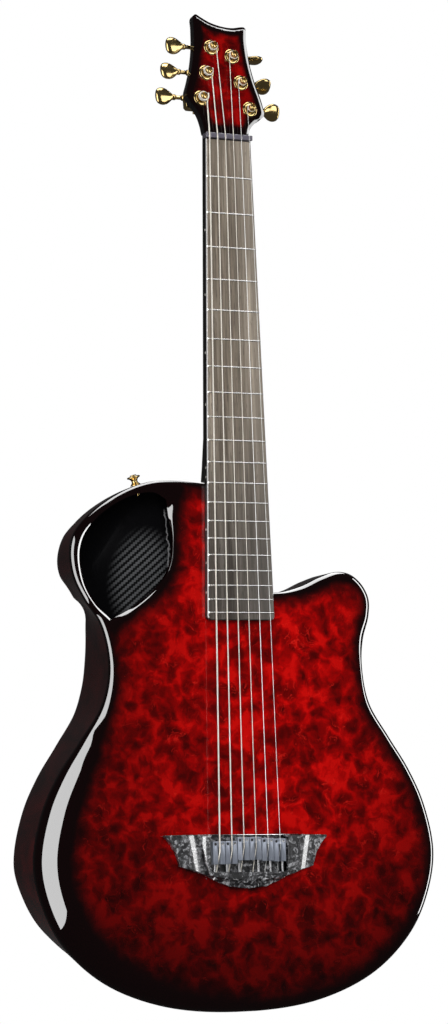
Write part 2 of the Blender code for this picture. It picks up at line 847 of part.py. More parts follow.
def tuner_bushing():
    bore = post_radius + running_gap
    return bored([
        (bore, -bushing_length), (bushing_radius, -bushing_length), (bushing_radius, gap),
        (bushing_flange_radius, gap), (bushing_flange_radius, bushing_flange_height - bushing_bevel),
        (bushing_flange_radius - bushing_bevel, bushing_flange_height), (bore, bushing_flange_height),
    ], 14)


def string_post():
    """A slotted top over a drawn in neck, and below the headstock a thinner seat for the gear."""
    seat_top = gear_middle + gear_thickness / 2
    drawn_in = post_radius - post_neck_depth
    groove_top = post_height - post_groove_from_top
    return turned([
        (gear_seat_radius, cavity_floor + gap), (gear_seat_radius, seat_top), (post_radius, seat_top + gap),
        (post_radius, groove_top - post_groove_length), (drawn_in, groove_top - post_groove_length / 2),
        (post_radius, groove_top), (post_radius, post_height - post_edge),
        (post_radius - post_edge, post_height),
    ])


def tuner_button():
    """The worm's core and shaft along Z, and the flat button on its end."""
    shaft_end = button_reach - button_length / 2
    collar_end = housing_outer_reach + collar_length
    shaft = [
        (worm_radius, -worm_length / 2), (worm_radius, worm_length / 2),
        (shaft_radius, worm_length / 2 + gap), (shaft_radius, housing_outer_reach + gap),
        (collar_radius, housing_outer_reach + gap), (collar_radius, collar_end),
        (stem_radius, collar_end + collar_slope), (stem_radius, shaft_end - collar_length - collar_slope),
        (collar_radius, shaft_end - collar_length), (collar_radius, shaft_end - collar_slope),
    ]
    head = [(0.38, 0.00), (0.44, 0.06), (0.66, 0.20), (0.90, 0.36), (1.00, 0.55), (0.96, 0.74),
            (0.76, 0.90), (0.36, 1.00)]
    rings = [ring(radius, level, round_sides) for radius, level in shaft]
    for share, place in head:
        flat = button_flatness + (1 - button_flatness) * max(0, 1 - place / 0.2)
        level = shaft_end + place * button_length
        rings.append([(x * flat, y, z) for x, y, z in ring(share * button_radius, level, round_sides)])
    return loft(rings)


for index, (x, y, side) in enumerate(tuners):
    number = len(tuners) - index
    at_post = (x, y, 0)
    housing = piece(f"tuner_housing_{number}", on_side(housing_block(), side), gold, head_frame, at_post)
    join(housing, block((-ear_width / 2, ear_width / 2), (housing_low - ear_length, housing_low + past),
                        (housing_top, housing_top - ear_thickness)), "ear")
    cavity = block((cavity_low, housing_outer_reach - housing_wall), (cavity_low, cavity_high),
                   (housing_top + past, cavity_floor))
    cut(housing, on_side(cavity, side), "cavity")
    shaft_bore = moved(rod(shaft_radius + running_gap, 0, housing_outer_reach + past),
                       shift(0, worm_offset, gear_middle) @ along_x)
    cut(housing, on_side(shaft_bore, side), "shaft_bore")
    cut(housing, tuner_screw_hole(housing_top + past), "screw_hole")
    piece(f"tuner_bushing_{number}", tuner_bushing(), gold, head_frame, at_post)
    post = piece(f"string_post_{number}", string_post(), gold, head_frame, at_post)
    join(post, gear_disc(), "gear")
    at_rest = Matrix.Rotation(radians(button_rest_turns[index]), 4, "Z")
    piece(f"tuner_button_{number}", moved(tuner_button(), at_rest), gold, head_frame,
          (x, y + worm_offset, gear_middle), (0, side * pi / 2, 0))


def at_tuners(make):
    """One cutter with a copy of a shape at each string post."""
    return together([moved(make(), shift(x, y)) for x, y, side in tuners])


def bushing_hole():
    return rod(bushing_radius + gap, -2 * headstock_thickness, headstock_thickness, 14)


cut(neck, moved(at_tuners(lambda: tuner_screw_hole(housing_top + tuner_screw_length + gap)), to_head),
    "tuner_screw_holes")
cut(neck, moved(at_tuners(bushing_hole), to_head), "tuner_holes")
cut(overlay, at_tuners(bushing_hole), "tuner_holes")


# Bridge

wing_outline = [
    (0.000, 0.0000), (0.500, 0.0001), (0.995, 0.0007), (1.000, 0.0019), (0.925, 0.0078), (0.860, 0.0165),
    (0.815, 0.0275), (0.650, 0.0312), (0.500, 0.0355), (0.360, 0.0404), (0.220, 0.0447), (0.000, bridge_length),
]


def both_sides(half):
    """A half outline and its mirror image, slanted as the bridge is."""
    right = [(x, bridge_front - down) for x, down in half]
    left = [(-x, y) for x, y in reversed(right) if x > 0]
    return slanted(right + left)


def slanted(plan):
    return [(x, y - tan(bridge_slant) * x) for x, y in plan]


wings = both_sides([(share * bridge_half_width, down) for share, down in wing_outline])
bridge = piece("bridge", prism(wings, gap, bridge_wing_height), forged_carbon, top_frame)

plateau_foot = [(0.0500, 0.0008), (0.0400, 0.0345), (0.0280, 0.0396), (0.0170, 0.0438), (0.0, 0.0456)]
plateau_top = [(0.0480, 0.0012), (0.0384, 0.0345), (0.0276, 0.0372), (0.0165, 0.0382), (0.0, 0.0388)]


plateau_levels = [(plateau_foot, gap * 2), (plateau_foot, bridge_wing_height - 0.0010), (plateau_top, bridge_height)]
plateau = loft([[(x, y, level) for x, y in both_sides(half)] for half, level in plateau_levels])
join(bridge, plateau, "plateau")
pocket_plan = chamfered((-pocket_half_width, pocket_half_width), (pocket_back, pocket_front), pocket_corner)
cut(bridge, prism(slanted(pocket_plan), pocket_floor, bridge_height + past), "saddle_pocket")
lip_half = pocket_half_width - pocket_corner
lip_plan = [(-lip_half, bridge_front + past), (-lip_half, pocket_front - past / 2),
            (lip_half, pocket_front - past / 2), (lip_half, bridge_front + past)]
cut(bridge, prism(slanted(lip_plan), lip_height, bridge_height + past), "front_lip")

strings = range(len(string_diameters))
saddle_x = [across_strings(index, saddle_string_spread) for index in strings]
screw_x = [x + side * intonation_screw_offset for x, side in zip(saddle_x, intonation_screw_sides)]
head_seat_y = pocket_back - bearing_wall
ball_seat_y = pocket_back - bearing_wall * 0.6
past_bridge = pocket_back - bore_past_bridge


def lengthwise(profile, x, height, sides=small_sides):
    """A shape turned about a line along the strings, from (radius, place) pairs."""
    return moved(turned(profile, sides), shift(x, 0, height) @ along_y)


def stepped_bore(small, large, seat):
    """A bore from the saddle pocket back to a seat, and wider from there out of the bridge."""
    return [(large, past_bridge), (large, seat), (small, seat), (small, pocket_back + past)]


string_holes = [lengthwise(stepped_bore(string_bore_radius, ball_radius + gap, ball_seat_y), x,
                           string_bore_height) for x in saddle_x]
cut(bridge, together(string_holes), "string_holes")
screw_holes = [lengthwise(stepped_bore(intonation_screw_radius + gap, screw_head_radius + gap, head_seat_y),
                          x, intonation_screw_height) for x in screw_x]
cut(bridge, together(screw_holes), "intonation_screw_holes")


# Saddles, each on two height screws, and their intonation screws

height_screw_foot = pocket_floor + gap
height_screw_top = saddle_top - 0.0008
for index in strings:
    number = len(tuners) - index
    front = pocket_front - saddle_set_back[index]
    x = saddle_x[index]
    half = saddle_width / 2
    slot = saddle_slot_width / 2
    back_y = -saddle_length
    plan = [(-half, 0), (half, 0), (half, back_y), (slot, back_y), (slot, -saddle_nose),
            (-slot, -saddle_nose), (-slot, back_y), (-half, back_y)]
    saddle = piece(f"saddle_{number}", prism(plan, saddle_bottom, saddle_top), saddle_grey, top_frame,
                   (x, front, 0))
    sockets = [moved(rod(height_screw_radius, height_screw_top, saddle_top + past, small_sides),
                     shift(side * height_screw_offset, -height_screw_from_front)) for side in (-1, 1)]
    side = intonation_screw_sides[index]
    bore = intonation_screw_radius + gap
    bore_end = -saddle_nose - gap
    cut(saddle, lengthwise([(bore, back_y - past), (bore, bore_end)], side * intonation_screw_offset,
                           intonation_screw_height), "screw_hole")
    feet = [moved(rod(height_screw_radius, height_screw_foot, height_screw_top, small_sides),
                  shift(side * height_screw_offset, -height_screw_from_front)) for side in (-1, 1)]
    join(saddle, together(feet), "height_screws")
    cut(saddle, together(sockets), "screw_sockets")
    tip = front + bore_end - saddle_travel_back - gap
    head_face = head_seat_y - gap
    screw = turned([(screw_head_radius - 0.0004, head_face - screw_head_thickness),
                    (screw_head_radius, head_face - screw_head_thickness + 0.0004),
                    (screw_head_radius, head_face), (intonation_screw_radius, head_face),
                    (intonation_screw_radius, tip)], small_sides)
    piece(f"intonation_screw_{number}", moved(screw, along_y), screw_steel, top_frame,
          (screw_x[index], 0, intonation_screw_height))


# Strings, each one unbroken tube from its ball end to its turns round the post

loop_points = 24
turn_counts = (2, 2, 2, 2, 2, 2)
wind_clear_of_flange = 0.0011
stub_length = 0.0025
least_turn_gap = 1.0


def cos_of(share):
    """The angle whose cosine is the share."""
    return atan2(sqrt(1 - share * share), share)


def string_route(index):
    """Points from the ball end over saddle and nut to the last turn round the post."""
    radius = string_diameters[index] / 2
    x_saddle = saddle_x[index]
    x_nut = across_strings(index, nut_string_spread)
    saddle_front = pocket_front - saddle_set_back[index]
    crest = string_height_at_saddle + radius
    bend = saddle_front - saddle_nose - saddle_travel_back
    over_nut = string_height_at_nut + radius
    points = [
        Vector((x_saddle, ball_seat_y - gap - ball_length, string_bore_height)),
        Vector((x_saddle, ball_seat_y - gap, string_bore_height)),
        Vector((x_saddle, ball_seat_y - gap + 0.00005, string_bore_height)),
        Vector((x_saddle, pocket_back + 0.0015, string_bore_height)),
        Vector((x_saddle, bend - 0.0030, crest - 0.0011)),
        Vector((x_saddle, bend, crest)),
        Vector((x_nut, 0.0004, over_nut)),
        Vector((x_nut, nut_thickness - 0.0006, over_nut)),
    ]
    from_head = to_head.inverted()
    start = from_head @ Vector((x_nut, nut_thickness, over_nut))
    x, y, side = tuners[index]
    reach = post_radius + radius + gap
    centre = Vector((x, y))
    away = centre - start.xy
    slant = atan2(away.y, away.x)
    opening = cos_of(reach / away.length)
    first_turn = slant + pi - side * opening
    level = max(start.z, bushing_flange_height + gap + radius)
    pitch = string_diameters[index] + wind_clear_of_flange * 0.5
    total = loop_points * turn_counts[index]
    for i in range(total + 1):
        turn = first_turn - side * 2 * pi * i / loop_points
        spot = centre + Vector((cos(turn), sin(turn))) * reach
        points.append(to_head @ Vector((spot.x, spot.y, level + pitch * i / loop_points)))
    last = first_turn - side * 2 * pi * turn_counts[index]
    heading = Vector((sin(last), -cos(last))) * side
    end = centre + Vector((cos(last), sin(last))) * reach + heading * stub_length
    points.append(to_head @ Vector((end.x, end.y, level + pitch * turn_counts[index])))
    return points, pitch - string_diameters[index]


for index, diameter in enumerate(string_diameters):
    number = len(tuners) - index
    route, turn_gap = string_route(index)
    least_turn_gap = min(least_turn_gap, turn_gap)
    curve = bpy.data.curves.new(f"string_{number}", "CURVE")
    curve.dimensions = "3D"
    curve.bevel_depth = diameter / 2
    curve.bevel_resolution = 1
    curve.use_fill_caps = True
    spline = curve.splines.new("POLY")
    spline.points.add(len(route) - 1)
    for knot, point in zip(spline.points, route):
        knot.co = (*point, 1)
    for knot in spline.points[:2]:
        knot.radius = ball_radius / (diameter / 2)
    curve.materials.append(string_bronze)
    tube = bpy.data.objects.new(f"string_{number}", curve)
    bpy.context.collection.objects.link(tube)
    tube.parent = top_frame
print(f"Least gap between the turns of a string: {least_turn_gap * 1000:.2f} mm")


# Strap button on the bass shoulder, with its screw and the nut inside the wall

def shoulder_spot(x):
    """The outline's point and outward normal at a place across the bass shoulder."""
    for i in range(side_count - 1):
        a, b = bass_side[i], bass_side[i + 1]
        if b.x <= x <= a.x:
            spot = a.lerp(b, (x - a.x) / (b.x - a.x)).xy
            run = (b - a).xy.normalized()
            return spot, Vector((-run.y, run.x)) if run.x > 0 else Vector((run.y, -run.x))
    raise ValueError("no such place on the shoulder")


spot, normal = shoulder_spot(strap_button_x)
drawn_in = tan(side_lean) * (strap_button_depth - seam_depth(0.005))
seat = spot - normal * drawn_in
button_turn = (-pi / 2, 0, atan2(-normal.x, normal.y))
button_at = (seat.x, seat.y, -strap_button_depth)
button_bore = strap_screw_radius + gap
button_profile = [
    (button_bore, gap), (strap_foot_radius, gap), (strap_foot_radius - 0.0004, strap_waist_start / 2),
    (strap_waist_radius, strap_waist_start), (strap_waist_radius, strap_waist_end),
    (strap_foot_radius - 0.0004, strap_button_height - 0.0023),
    (strap_button_radius, strap_button_height - 0.0014),
    (strap_button_radius, strap_button_height - 0.0008), (strap_button_radius - 0.0008, strap_button_height),
    (button_bore, strap_button_height),
]
piece("strap_button", bored(button_profile), gold, top_frame, button_at, button_turn)
nut_seat = -wall - strap_nut_from_wall
strap_screw_inside = strap_nut_height + strap_screw_past_nut - nut_seat
strap_head_top = strap_button_height + strap_head_thickness
strap_screw_profile = [
    (strap_screw_radius, -strap_screw_inside), (strap_screw_radius, strap_button_height + gap),
    (strap_head_radius, strap_button_height + gap), (strap_head_radius - 0.0004, strap_head_top),
]
piece("strap_button_screw", turned(strap_screw_profile), gold, top_frame, button_at, button_turn)
strap_nut = hexagon_nut(button_bore, strap_nut_corner, nut_seat - strap_nut_height, nut_seat)
piece("strap_button_nut", strap_nut, gold, top_frame, button_at, button_turn)
hole = moved(rod(button_bore, -2 * wall, wall), Matrix.Translation(button_at)
             @ Matrix.Rotation(button_turn[2], 4, "Z") @ Matrix.Rotation(button_turn[0], 4, "X"))
cut(body_shell, hole, "strap_screw_hole")


# Output jack, flush in the tail and through the end block

jack_at = (0, tail_wall_y(jack_depth), -jack_depth)
jack_turn = (pi / 2 + tail_lean, 0, 0)
jack_place = Matrix.Translation(jack_at) @ Matrix.Rotation(jack_turn[0], 4, "X")
jack_profile = [
    (jack_socket_radius, -jack_length), (jack_radius, -jack_length), (jack_radius, gap),
    (jack_flange_radius, gap), (jack_flange_radius, jack_flange_thickness - 0.0008),
    (jack_flange_radius - 0.0012, jack_flange_thickness), (jack_socket_radius, jack_flange_thickness),
]
piece("output_jack", bored(jack_profile, 16), gold, top_frame, jack_at, jack_turn)
face_from_wall = block_face - tail_wall_y(jack_depth)
jack_nut_seat = (face_from_wall + jack_nut_corner * sin(tail_lean)) / cos(tail_lean) + 2 * gap
jack_nut = hexagon_nut(jack_radius + gap, jack_nut_corner, -jack_nut_seat - jack_nut_height, -jack_nut_seat)
piece("jack_nut", jack_nut, screw_steel, top_frame, jack_at, jack_turn)
for target in (body_shell, end_block):
    bore = rod(jack_radius + gap, -jack_length - end_block_thickness, end_block_thickness, 16)
    cut(target, moved(bore, jack_place), "jack_hole")
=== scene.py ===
"""Carbon fibre travel guitar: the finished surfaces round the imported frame."""
import json
from math import atan2, cos, hypot, pi, radians, sin, sqrt, tan

import bmesh
import bpy
from mathutils import Matrix, Vector
from mathutils.geometry import delaunay_2d_cdt


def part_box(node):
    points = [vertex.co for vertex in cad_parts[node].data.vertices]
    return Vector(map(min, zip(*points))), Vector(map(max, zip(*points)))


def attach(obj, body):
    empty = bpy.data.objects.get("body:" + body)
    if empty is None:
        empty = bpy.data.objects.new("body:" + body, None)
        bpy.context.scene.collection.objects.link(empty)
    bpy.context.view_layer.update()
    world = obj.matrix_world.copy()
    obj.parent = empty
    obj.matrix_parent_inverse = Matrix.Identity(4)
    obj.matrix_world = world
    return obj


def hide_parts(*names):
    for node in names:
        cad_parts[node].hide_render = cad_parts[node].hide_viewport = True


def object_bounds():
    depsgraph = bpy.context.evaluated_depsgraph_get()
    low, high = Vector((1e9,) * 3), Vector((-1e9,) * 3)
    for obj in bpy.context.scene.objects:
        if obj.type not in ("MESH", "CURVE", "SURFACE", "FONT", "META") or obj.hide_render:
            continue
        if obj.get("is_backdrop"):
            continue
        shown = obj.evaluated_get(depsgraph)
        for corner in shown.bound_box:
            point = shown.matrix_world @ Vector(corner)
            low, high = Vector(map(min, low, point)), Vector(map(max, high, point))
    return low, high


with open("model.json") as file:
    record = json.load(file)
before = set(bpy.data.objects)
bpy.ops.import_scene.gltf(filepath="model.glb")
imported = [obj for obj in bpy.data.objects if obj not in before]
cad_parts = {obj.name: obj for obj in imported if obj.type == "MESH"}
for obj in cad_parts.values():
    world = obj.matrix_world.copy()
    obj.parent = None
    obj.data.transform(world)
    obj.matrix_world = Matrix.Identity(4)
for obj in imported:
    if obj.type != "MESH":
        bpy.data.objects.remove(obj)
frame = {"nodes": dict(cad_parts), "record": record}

cad_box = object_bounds()


# The studio: a pale floor and a surround that only the camera sees as white, two soft lights,
# and white cards that show only in the gloss of lacquer, metal, bridge and strings. The long
# lens looks at the guitar from below its bass side.

camera_at = Vector((-1.06335, -2.2258, -0.5848))
camera_right = Vector((0.90492, -0.42474, -0.02677))
camera_up = Vector((-0.01969, -0.10462, 0.99432))
camera_back = Vector((-0.42513, -0.89925, -0.10304))
lens = bpy.data.cameras.new("long_lens")
lens.lens = 100
lens.sensor_width = 36
lens.sensor_fit = "AUTO"
lens.clip_start = 0.05
camera = bpy.data.objects.new("camera", lens)
bpy.context.collection.objects.link(camera)
camera.matrix_world = Matrix.Translation(camera_at) @ Matrix(
    (camera_right, camera_up, camera_back)).transposed().to_4x4()
bpy.context.scene.camera = camera
bpy.context.scene.view_settings.view_transform = "Standard"

lacquered, bare_metal, head_face, bridge_top, wires = (bpy.data.collections.new(name) for name in (
    "lacquered", "bare_metal", "head_face", "bridge_top", "wires"))


def lamp(name, place, target, width, height, watts, card=None):
    """A rectangular soft box that faces its target. A card shows only in the gloss of its group."""
    data = bpy.data.lights.new(name, "AREA")
    data.shape = "RECTANGLE"
    data.size = width
    data.size_y = height
    data.energy = watts
    made = bpy.data.objects.new(name, data)
    bpy.context.collection.objects.link(made)
    made.location = place
    made.rotation_euler = (Vector(target) - Vector(place)).to_track_quat("-Z", "Y").to_euler()
    made.visible_diffuse = card is None
    made.visible_glossy = card is not None
    if card:
        made.light_linking.receiver_collection = card
    made.visible_camera = False


middle = (0, 0, -0.40)
lamp("front_light", (-1.2, -2.6, 0.6), middle, 1.6, 1.6, 68)
lamp("right_light", (1.8, -1.6, 0.6), middle, 1.2, 1.6, 22)
lamp("left_card", (-1.6, -1.83, -0.58), (1, -1.83, -0.58), 2.76, 2.65, 322, card=lacquered)
lamp("top_card", (0.3, -0.25, 1.7), middle, 2.7, 1.1, 150, card=lacquered)
lamp("right_card", (2.5, -0.62, 0.05), (0, -0.62, 0.05), 0.62, 2.9, 100, card=lacquered)
lamp("head_card", (2.2, -1.25, 0.70), (0, -0.05, 0.06), 1.2, 1.8, 80, card=head_face)
lamp("head_low_card", (-1.1, -2.3, -0.35), (0, -0.05, 0.06), 0.9, 0.9, 32, card=head_face)
lamp("head_top_card", (0.95, -1.25, 1.7), (0, -0.05, 0.10), 0.9, 0.9, 45, card=head_face)
lamp("bridge_left_card", (-0.28, -2.6, -0.33), (-0.05, 0, -0.61), 0.5, 1.3, 34, card=bridge_top)
lamp("bridge_right_card", (1.9, -1.6, -0.35), (0, 0, -0.61), 0.55, 1.2, 30, card=bridge_top)
lamp("bridge_top_card", (0.6, -0.1, 1.7), (0, 0, -0.61), 2.4, 1.4, 330, card=bridge_top)
lamp("wire_card", (-1.5, -3.0, -0.1), (0, 0, -0.3), 2.4, 2.0, 110, card=wires)
lamp("metal_left", (-1.6, -0.85, -0.1), (1, -0.85, -0.1), 1.5, 2.2, 24, card=bare_metal)
lamp("metal_front", (1.1, -2.25, 0.35), (0, 0, -0.1), 1.1, 1.5, 11, card=bare_metal)
lamp("metal_top", (-0.1, -0.4, 1.6), middle, 1.5, 0.7, 12, card=bare_metal)
lamp("metal_right", (2.4, -0.3, 0.0), middle, 0.5, 2.0, 11, card=bare_metal)


def by_ray(tree, seen, ray, others, own):
    """Mixes two shaders by the kind of ray: its own for this kind, the others' for the rest."""
    made = tree.nodes.new("ShaderNodeMixShader")
    for source, socket in ((seen.outputs[ray], 0), (others, 1), (own, 2)):
        tree.links.new(source, made.inputs[socket])
    return made.outputs[0]


world = bpy.data.worlds.new("studio")
bpy.context.scene.world = world
world.use_nodes = True
sky = world.node_tree
sky.nodes.clear()
sky_seen = sky.nodes.new("ShaderNodeLightPath")
sky_shades = []
lit_level, mirrored_level, seen_level = 0.16, 0.045, 1.0
for sky_level in (lit_level, mirrored_level, seen_level):
    shade = sky.nodes.new("ShaderNodeBackground")
    shade.inputs["Color"].default_value = (sky_level, sky_level, sky_level, 1)
    sky_shades.append(shade.outputs[0])
sky_mirrored = by_ray(sky, sky_seen, "Is Glossy Ray", sky_shades[0], sky_shades[1])
sky_whole = by_ray(sky, sky_seen, "Is Camera Ray", sky_mirrored, sky_shades[2])
sky.links.new(sky_whole, sky.nodes.new("ShaderNodeOutputWorld").inputs["Surface"])

floor_level, floor_size, floor_glow = -1.95, 9, 0.82
bpy.ops.object.select_all(action="DESELECT")
bpy.ops.mesh.primitive_plane_add(size=floor_size, location=(0, 0, floor_level))
floor = bpy.context.object
floor.name = "floor"
floor_paper = bpy.data.materials.new("floor_paper")
floor_paper.use_nodes = True
paper = floor_paper.node_tree
paper_shader = paper.nodes["Principled BSDF"]
paper_white, glow_white = (0.82, 0.82, 0.82, 1), (1, 1, 1, 1)
for key, value in (("Base Color", paper_white), ("Roughness", 0.9), ("Emission Color", glow_white)):
    paper_shader.inputs[key].default_value = value
paper_seen = paper.nodes.new("ShaderNodeLightPath")
paper_dim = paper.nodes.new("ShaderNodeEmission")
paper_dim.inputs["Strength"].default_value = mirrored_level
paper_lit = paper.nodes.new("ShaderNodeMath")
paper_lit.operation = "MULTIPLY"
paper_lit.inputs[1].default_value = floor_glow
paper.links.new(paper_seen.outputs["Is Camera Ray"], paper_lit.inputs[0])
paper.links.new(paper_lit.outputs[0], paper_shader.inputs["Emission Strength"])
paper_whole = by_ray(paper, paper_seen, "Is Glossy Ray", paper_shader.outputs[0], paper_dim.outputs[0])
paper.links.new(paper_whole, paper.nodes["Material Output"].inputs["Surface"])
floor.data.materials.append(floor_paper)
floor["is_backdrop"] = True


# The top: red dyed burl under thick lacquer on a carbon plate, sprayed black round its edges and
# bonded to the shell. Each side is drawn from the neck joint to the tail with the radius that
# its edge is rolled to, and the leaf shaped soundhole is cut through with a wide bevel.

scale_length, joint_fret = 0.610, 12


def fret_distance(number):
    return scale_length * (1 - 2 ** (-number / 12))


joint_z = -fret_distance(joint_fret)
tail_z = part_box("soundboard")[0].z
wall = 0.0025
seam_below_edge = 0.0020
bass_upper = [
    (-0.0300, 0.0000, 0.0020), (-0.0440, -0.0012, 0.0024), (-0.0600, -0.0020, 0.0028),
    (-0.0809, -0.0002, 0.0028), (-0.1035, 0.0072, 0.0028), (-0.1260, 0.0200, 0.0028),
    (-0.1420, 0.0335, 0.0028), (-0.1515, 0.0460, 0.0028), (-0.1552, 0.0610, 0.0028),
    (-0.1525, 0.0820, 0.0028), (-0.1425, 0.1020, 0.0028), (-0.1285, 0.1225, 0.0028),
]
treble_tongue = (0.0270, 0.0000, 0.0020)
treble_upper = [
    (0.0295, 0.0950, 0.0020), (0.0460, 0.0935, 0.0035), (0.0620, 0.0890, 0.0050),
    (0.0805, 0.0810, 0.0050), (0.0994, 0.0755, 0.0050), (0.1130, 0.0775, 0.0050),
    (0.1240, 0.0860, 0.0050), (0.1308, 0.0990, 0.0050), (0.1303, 0.1150, 0.0052),
    (0.1245, 0.1350, 0.0060),
]
lower_half = [
    (0.1213, 0.1590, 0.0032), (0.1278, 0.1915, 0.0052), (0.1463, 0.2215, 0.0100),
    (0.1650, 0.2500, 0.0150), (0.1795, 0.2810, 0.0170), (0.1880, 0.3230, 0.0175),
    (0.1815, 0.3580, 0.0172), (0.1634, 0.3930, 0.0162), (0.1270, 0.4260, 0.0140),
    (0.0720, 0.4480, 0.0100), (0.0000, 0.4550, 0.0065),
]
crisp_edge = 0.0045
treble_lower = [(x, y, min(radius, crisp_edge)) for x, y, radius in lower_half]
fine_steps = 8


def smooth_run(points, steps, ahead=None):
    """A centripetal curve through the points. It leaves the last one towards ahead."""
    last = Vector(points[-1])
    before = Vector(points[0]) * 2 - Vector(points[1])
    after = Vector(ahead) if ahead else last * 2 - Vector(points[-2])
    run = [before] + [Vector(point) for point in points] + [after]
    made = []
    for a, b, c, d in zip(run, run[1:], run[2:], run[3:]):
        t1 = sqrt((b - a).xy.length)
        t2 = t1 + sqrt((c - b).xy.length)
        t3 = t2 + sqrt((d - c).xy.length)
        for step in range(steps):
            t = t1 + (t2 - t1) * step / steps
            ab = a.lerp(b, t / t1)
            bc = b.lerp(c, (t - t1) / (t2 - t1))
            cd = c.lerp(d, (t - t2) / (t3 - t2))
            made.append(ab.lerp(bc, t / t2).lerp(bc.lerp(cd, (t - t1) / (t3 - t1)), (t - t1) / (t2 - t1)))
    made.append(last)
    return made


def on_body(point):
    """A drawn point in the plane of the top: across, up the neck, and its edge radius."""
    return (point[0], joint_z - point[1], *point[2:])


def mirrored(point):
    return (-point[0], *point[1:])


bass_points = bass_upper + [mirrored(point) for point in lower_half]
bass_side = smooth_run([on_body(p) for p in bass_points], fine_steps, ahead=on_body(lower_half[-2]))
treble_side = smooth_run([on_body(p) for p in treble_upper + treble_lower], fine_steps,
                         ahead=on_body(mirrored(lower_half[-2])))
tongue_steps = 24
tongue_end, tongue_corner = Vector(on_body(treble_tongue)), treble_side[0]
treble_side = [tongue_end.lerp(tongue_corner, i / tongue_steps) for i in range(tongue_steps)] + treble_side
neck_end = [bass_side[0].lerp(tongue_end, i / tongue_steps) for i in range(1, tongue_steps)]
outline = bass_side + list(reversed(treble_side[:-1])) + list(reversed(neck_end))


def edge_normals(points):
    """Outward normals in the plane of the top, mitred at each corner."""
    normals = []
    for i, point in enumerate(points):
        back = (point - points[i - 1]).xy.normalized()
        ahead = (points[(i + 1) % len(points)] - point).xy.normalized()
        one, two = Vector((back.y, -back.x)), Vector((ahead.y, -ahead.x))
        half = (one + two).normalized()
        normals.append(half / max(half.dot(one), 0.5))
    return normals


outward = edge_normals(outline)


def ease(share):
    share = min(max(share, 0), 1)
    return share * share * (3 - 2 * share)


def seam_depth(roll):
    return roll + seam_below_edge


def inset_ring(inset, depth):
    """A ring of the body, drawn in by inset and set back by depth at each point."""
    made = []
    for point, normal in zip(outline, outward):
        spot = point.xy - normal * inset(point, normal)
        made.append(Vector((spot.x, depth(point, normal), spot.y)))
    return made


def skin(mesh, rings, slot=0, closed=False):
    """Joins rings of equal length by quads, and gives the vertices of each ring."""
    loops = [[mesh.verts.new(point) for point in ring] if not isinstance(ring[0], bmesh.types.BMVert)
             else ring for ring in rings]
    pairs = list(zip(loops, loops[1:])) + ([(loops[-1], loops[0])] if closed else [])
    for low, high in pairs:
        for i in range(len(low)):
            j = (i + 1) % len(low)
            mesh.faces.new((low[i], low[j], high[j], high[i])).material_index = slot
    return loops


def fill_flat(mesh, loop, spacing, level, slot=0):
    """Fills the space inside a loop with small triangles, at the level of each spot."""
    points = [Vector((vert.co.x, vert.co.z)) for vert in loop]
    edges = [(i, (i + 1) % len(loop)) for i in range(len(loop))]
    xs = [p.x for p in points]
    ys = [p.y for p in points]
    row = 0
    y = min(ys) + spacing / 2
    while y < max(ys):
        x = min(xs) + spacing * (0.5 + 0.5 * (row % 2))
        while x < max(xs):
            points.append(Vector((x, y)))
            x += spacing
        y += spacing * 0.866
        row += 1
    out_points, _, faces, origin, _, _ = delaunay_2d_cdt(points, edges, [], 2, 1e-7)
    made = []
    for spot, source in zip(out_points, origin):
        old = [i for i in source if i < len(loop)]
        made.append(loop[old[0]] if old else mesh.verts.new((spot.x, level(spot.x, spot.y), spot.y)))
    for face in faces:
        corners = [made[i] for i in face]
        if len(set(corners)) == len(corners):
            mesh.faces.new(corners).material_index = slot
    for vert in made:
        if not vert.link_faces:
            mesh.verts.remove(vert)


def piece_from(name, mesh, *materials, smooth=35):
    """A finished piece at the origin from a mesh in its place."""
    bmesh.ops.recalc_face_normals(mesh, faces=mesh.faces)
    if mesh.calc_volume(signed=True) < 0:
        bmesh.ops.reverse_faces(mesh, faces=mesh.faces)
    data = bpy.data.meshes.new(name)
    mesh.to_mesh(data)
    mesh.free()
    for material in materials:
        data.materials.append(material)
    data.shade_smooth()
    data.set_sharp_from_angle(angle=radians(smooth))
    made = bpy.data.objects.new(name, data)
    bpy.context.collection.objects.link(made)
    return made


def keep(made, slot, *nodes, body="root", group=None):
    """A piece of the guitar: it rides on a body, mirrors its group's cards and stands for nodes."""
    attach(made, body)
    metals = ("gold", "screw_steel", "string_bronze", "saddle_grey")
    (group or (bare_metal if slot in metals else lacquered)).objects.link(made)
    if nodes:
        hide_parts(*nodes)
    return made


hole_bevel_depth = 0.0030
cutter_depth = hole_bevel_depth * 5
ridge_outer = [
    (-0.1184, 0.1265), (-0.1345, 0.1085), (-0.1470, 0.0875), (-0.1510, 0.0610),
    (-0.1470, 0.0445), (-0.1336, 0.0272), (-0.1108, 0.0123), (-0.0910, 0.0048),
    (-0.0730, 0.0020), (-0.0525, 0.0040),
]
ridge_inner = [
    (-0.0525, 0.0040), (-0.0603, 0.0250), (-0.0602, 0.0490), (-0.0626, 0.0700),
    (-0.0725, 0.0900), (-0.0990, 0.1115), (-0.1184, 0.1265),
]
rim_outer = [
    (-0.1190, 0.1175), (-0.1325, 0.1040), (-0.1420, 0.0870), (-0.1455, 0.0620),
    (-0.1410, 0.0460), (-0.1285, 0.0315), (-0.1080, 0.0175), (-0.0900, 0.0108),
    (-0.0755, 0.0102), (-0.0668, 0.0160),
]
rim_inner = [
    (-0.0668, 0.0160), (-0.0635, 0.0310), (-0.0612, 0.0500), (-0.0635, 0.0700),
    (-0.0730, 0.0865), (-0.0985, 0.1075), (-0.1190, 0.1175),
]


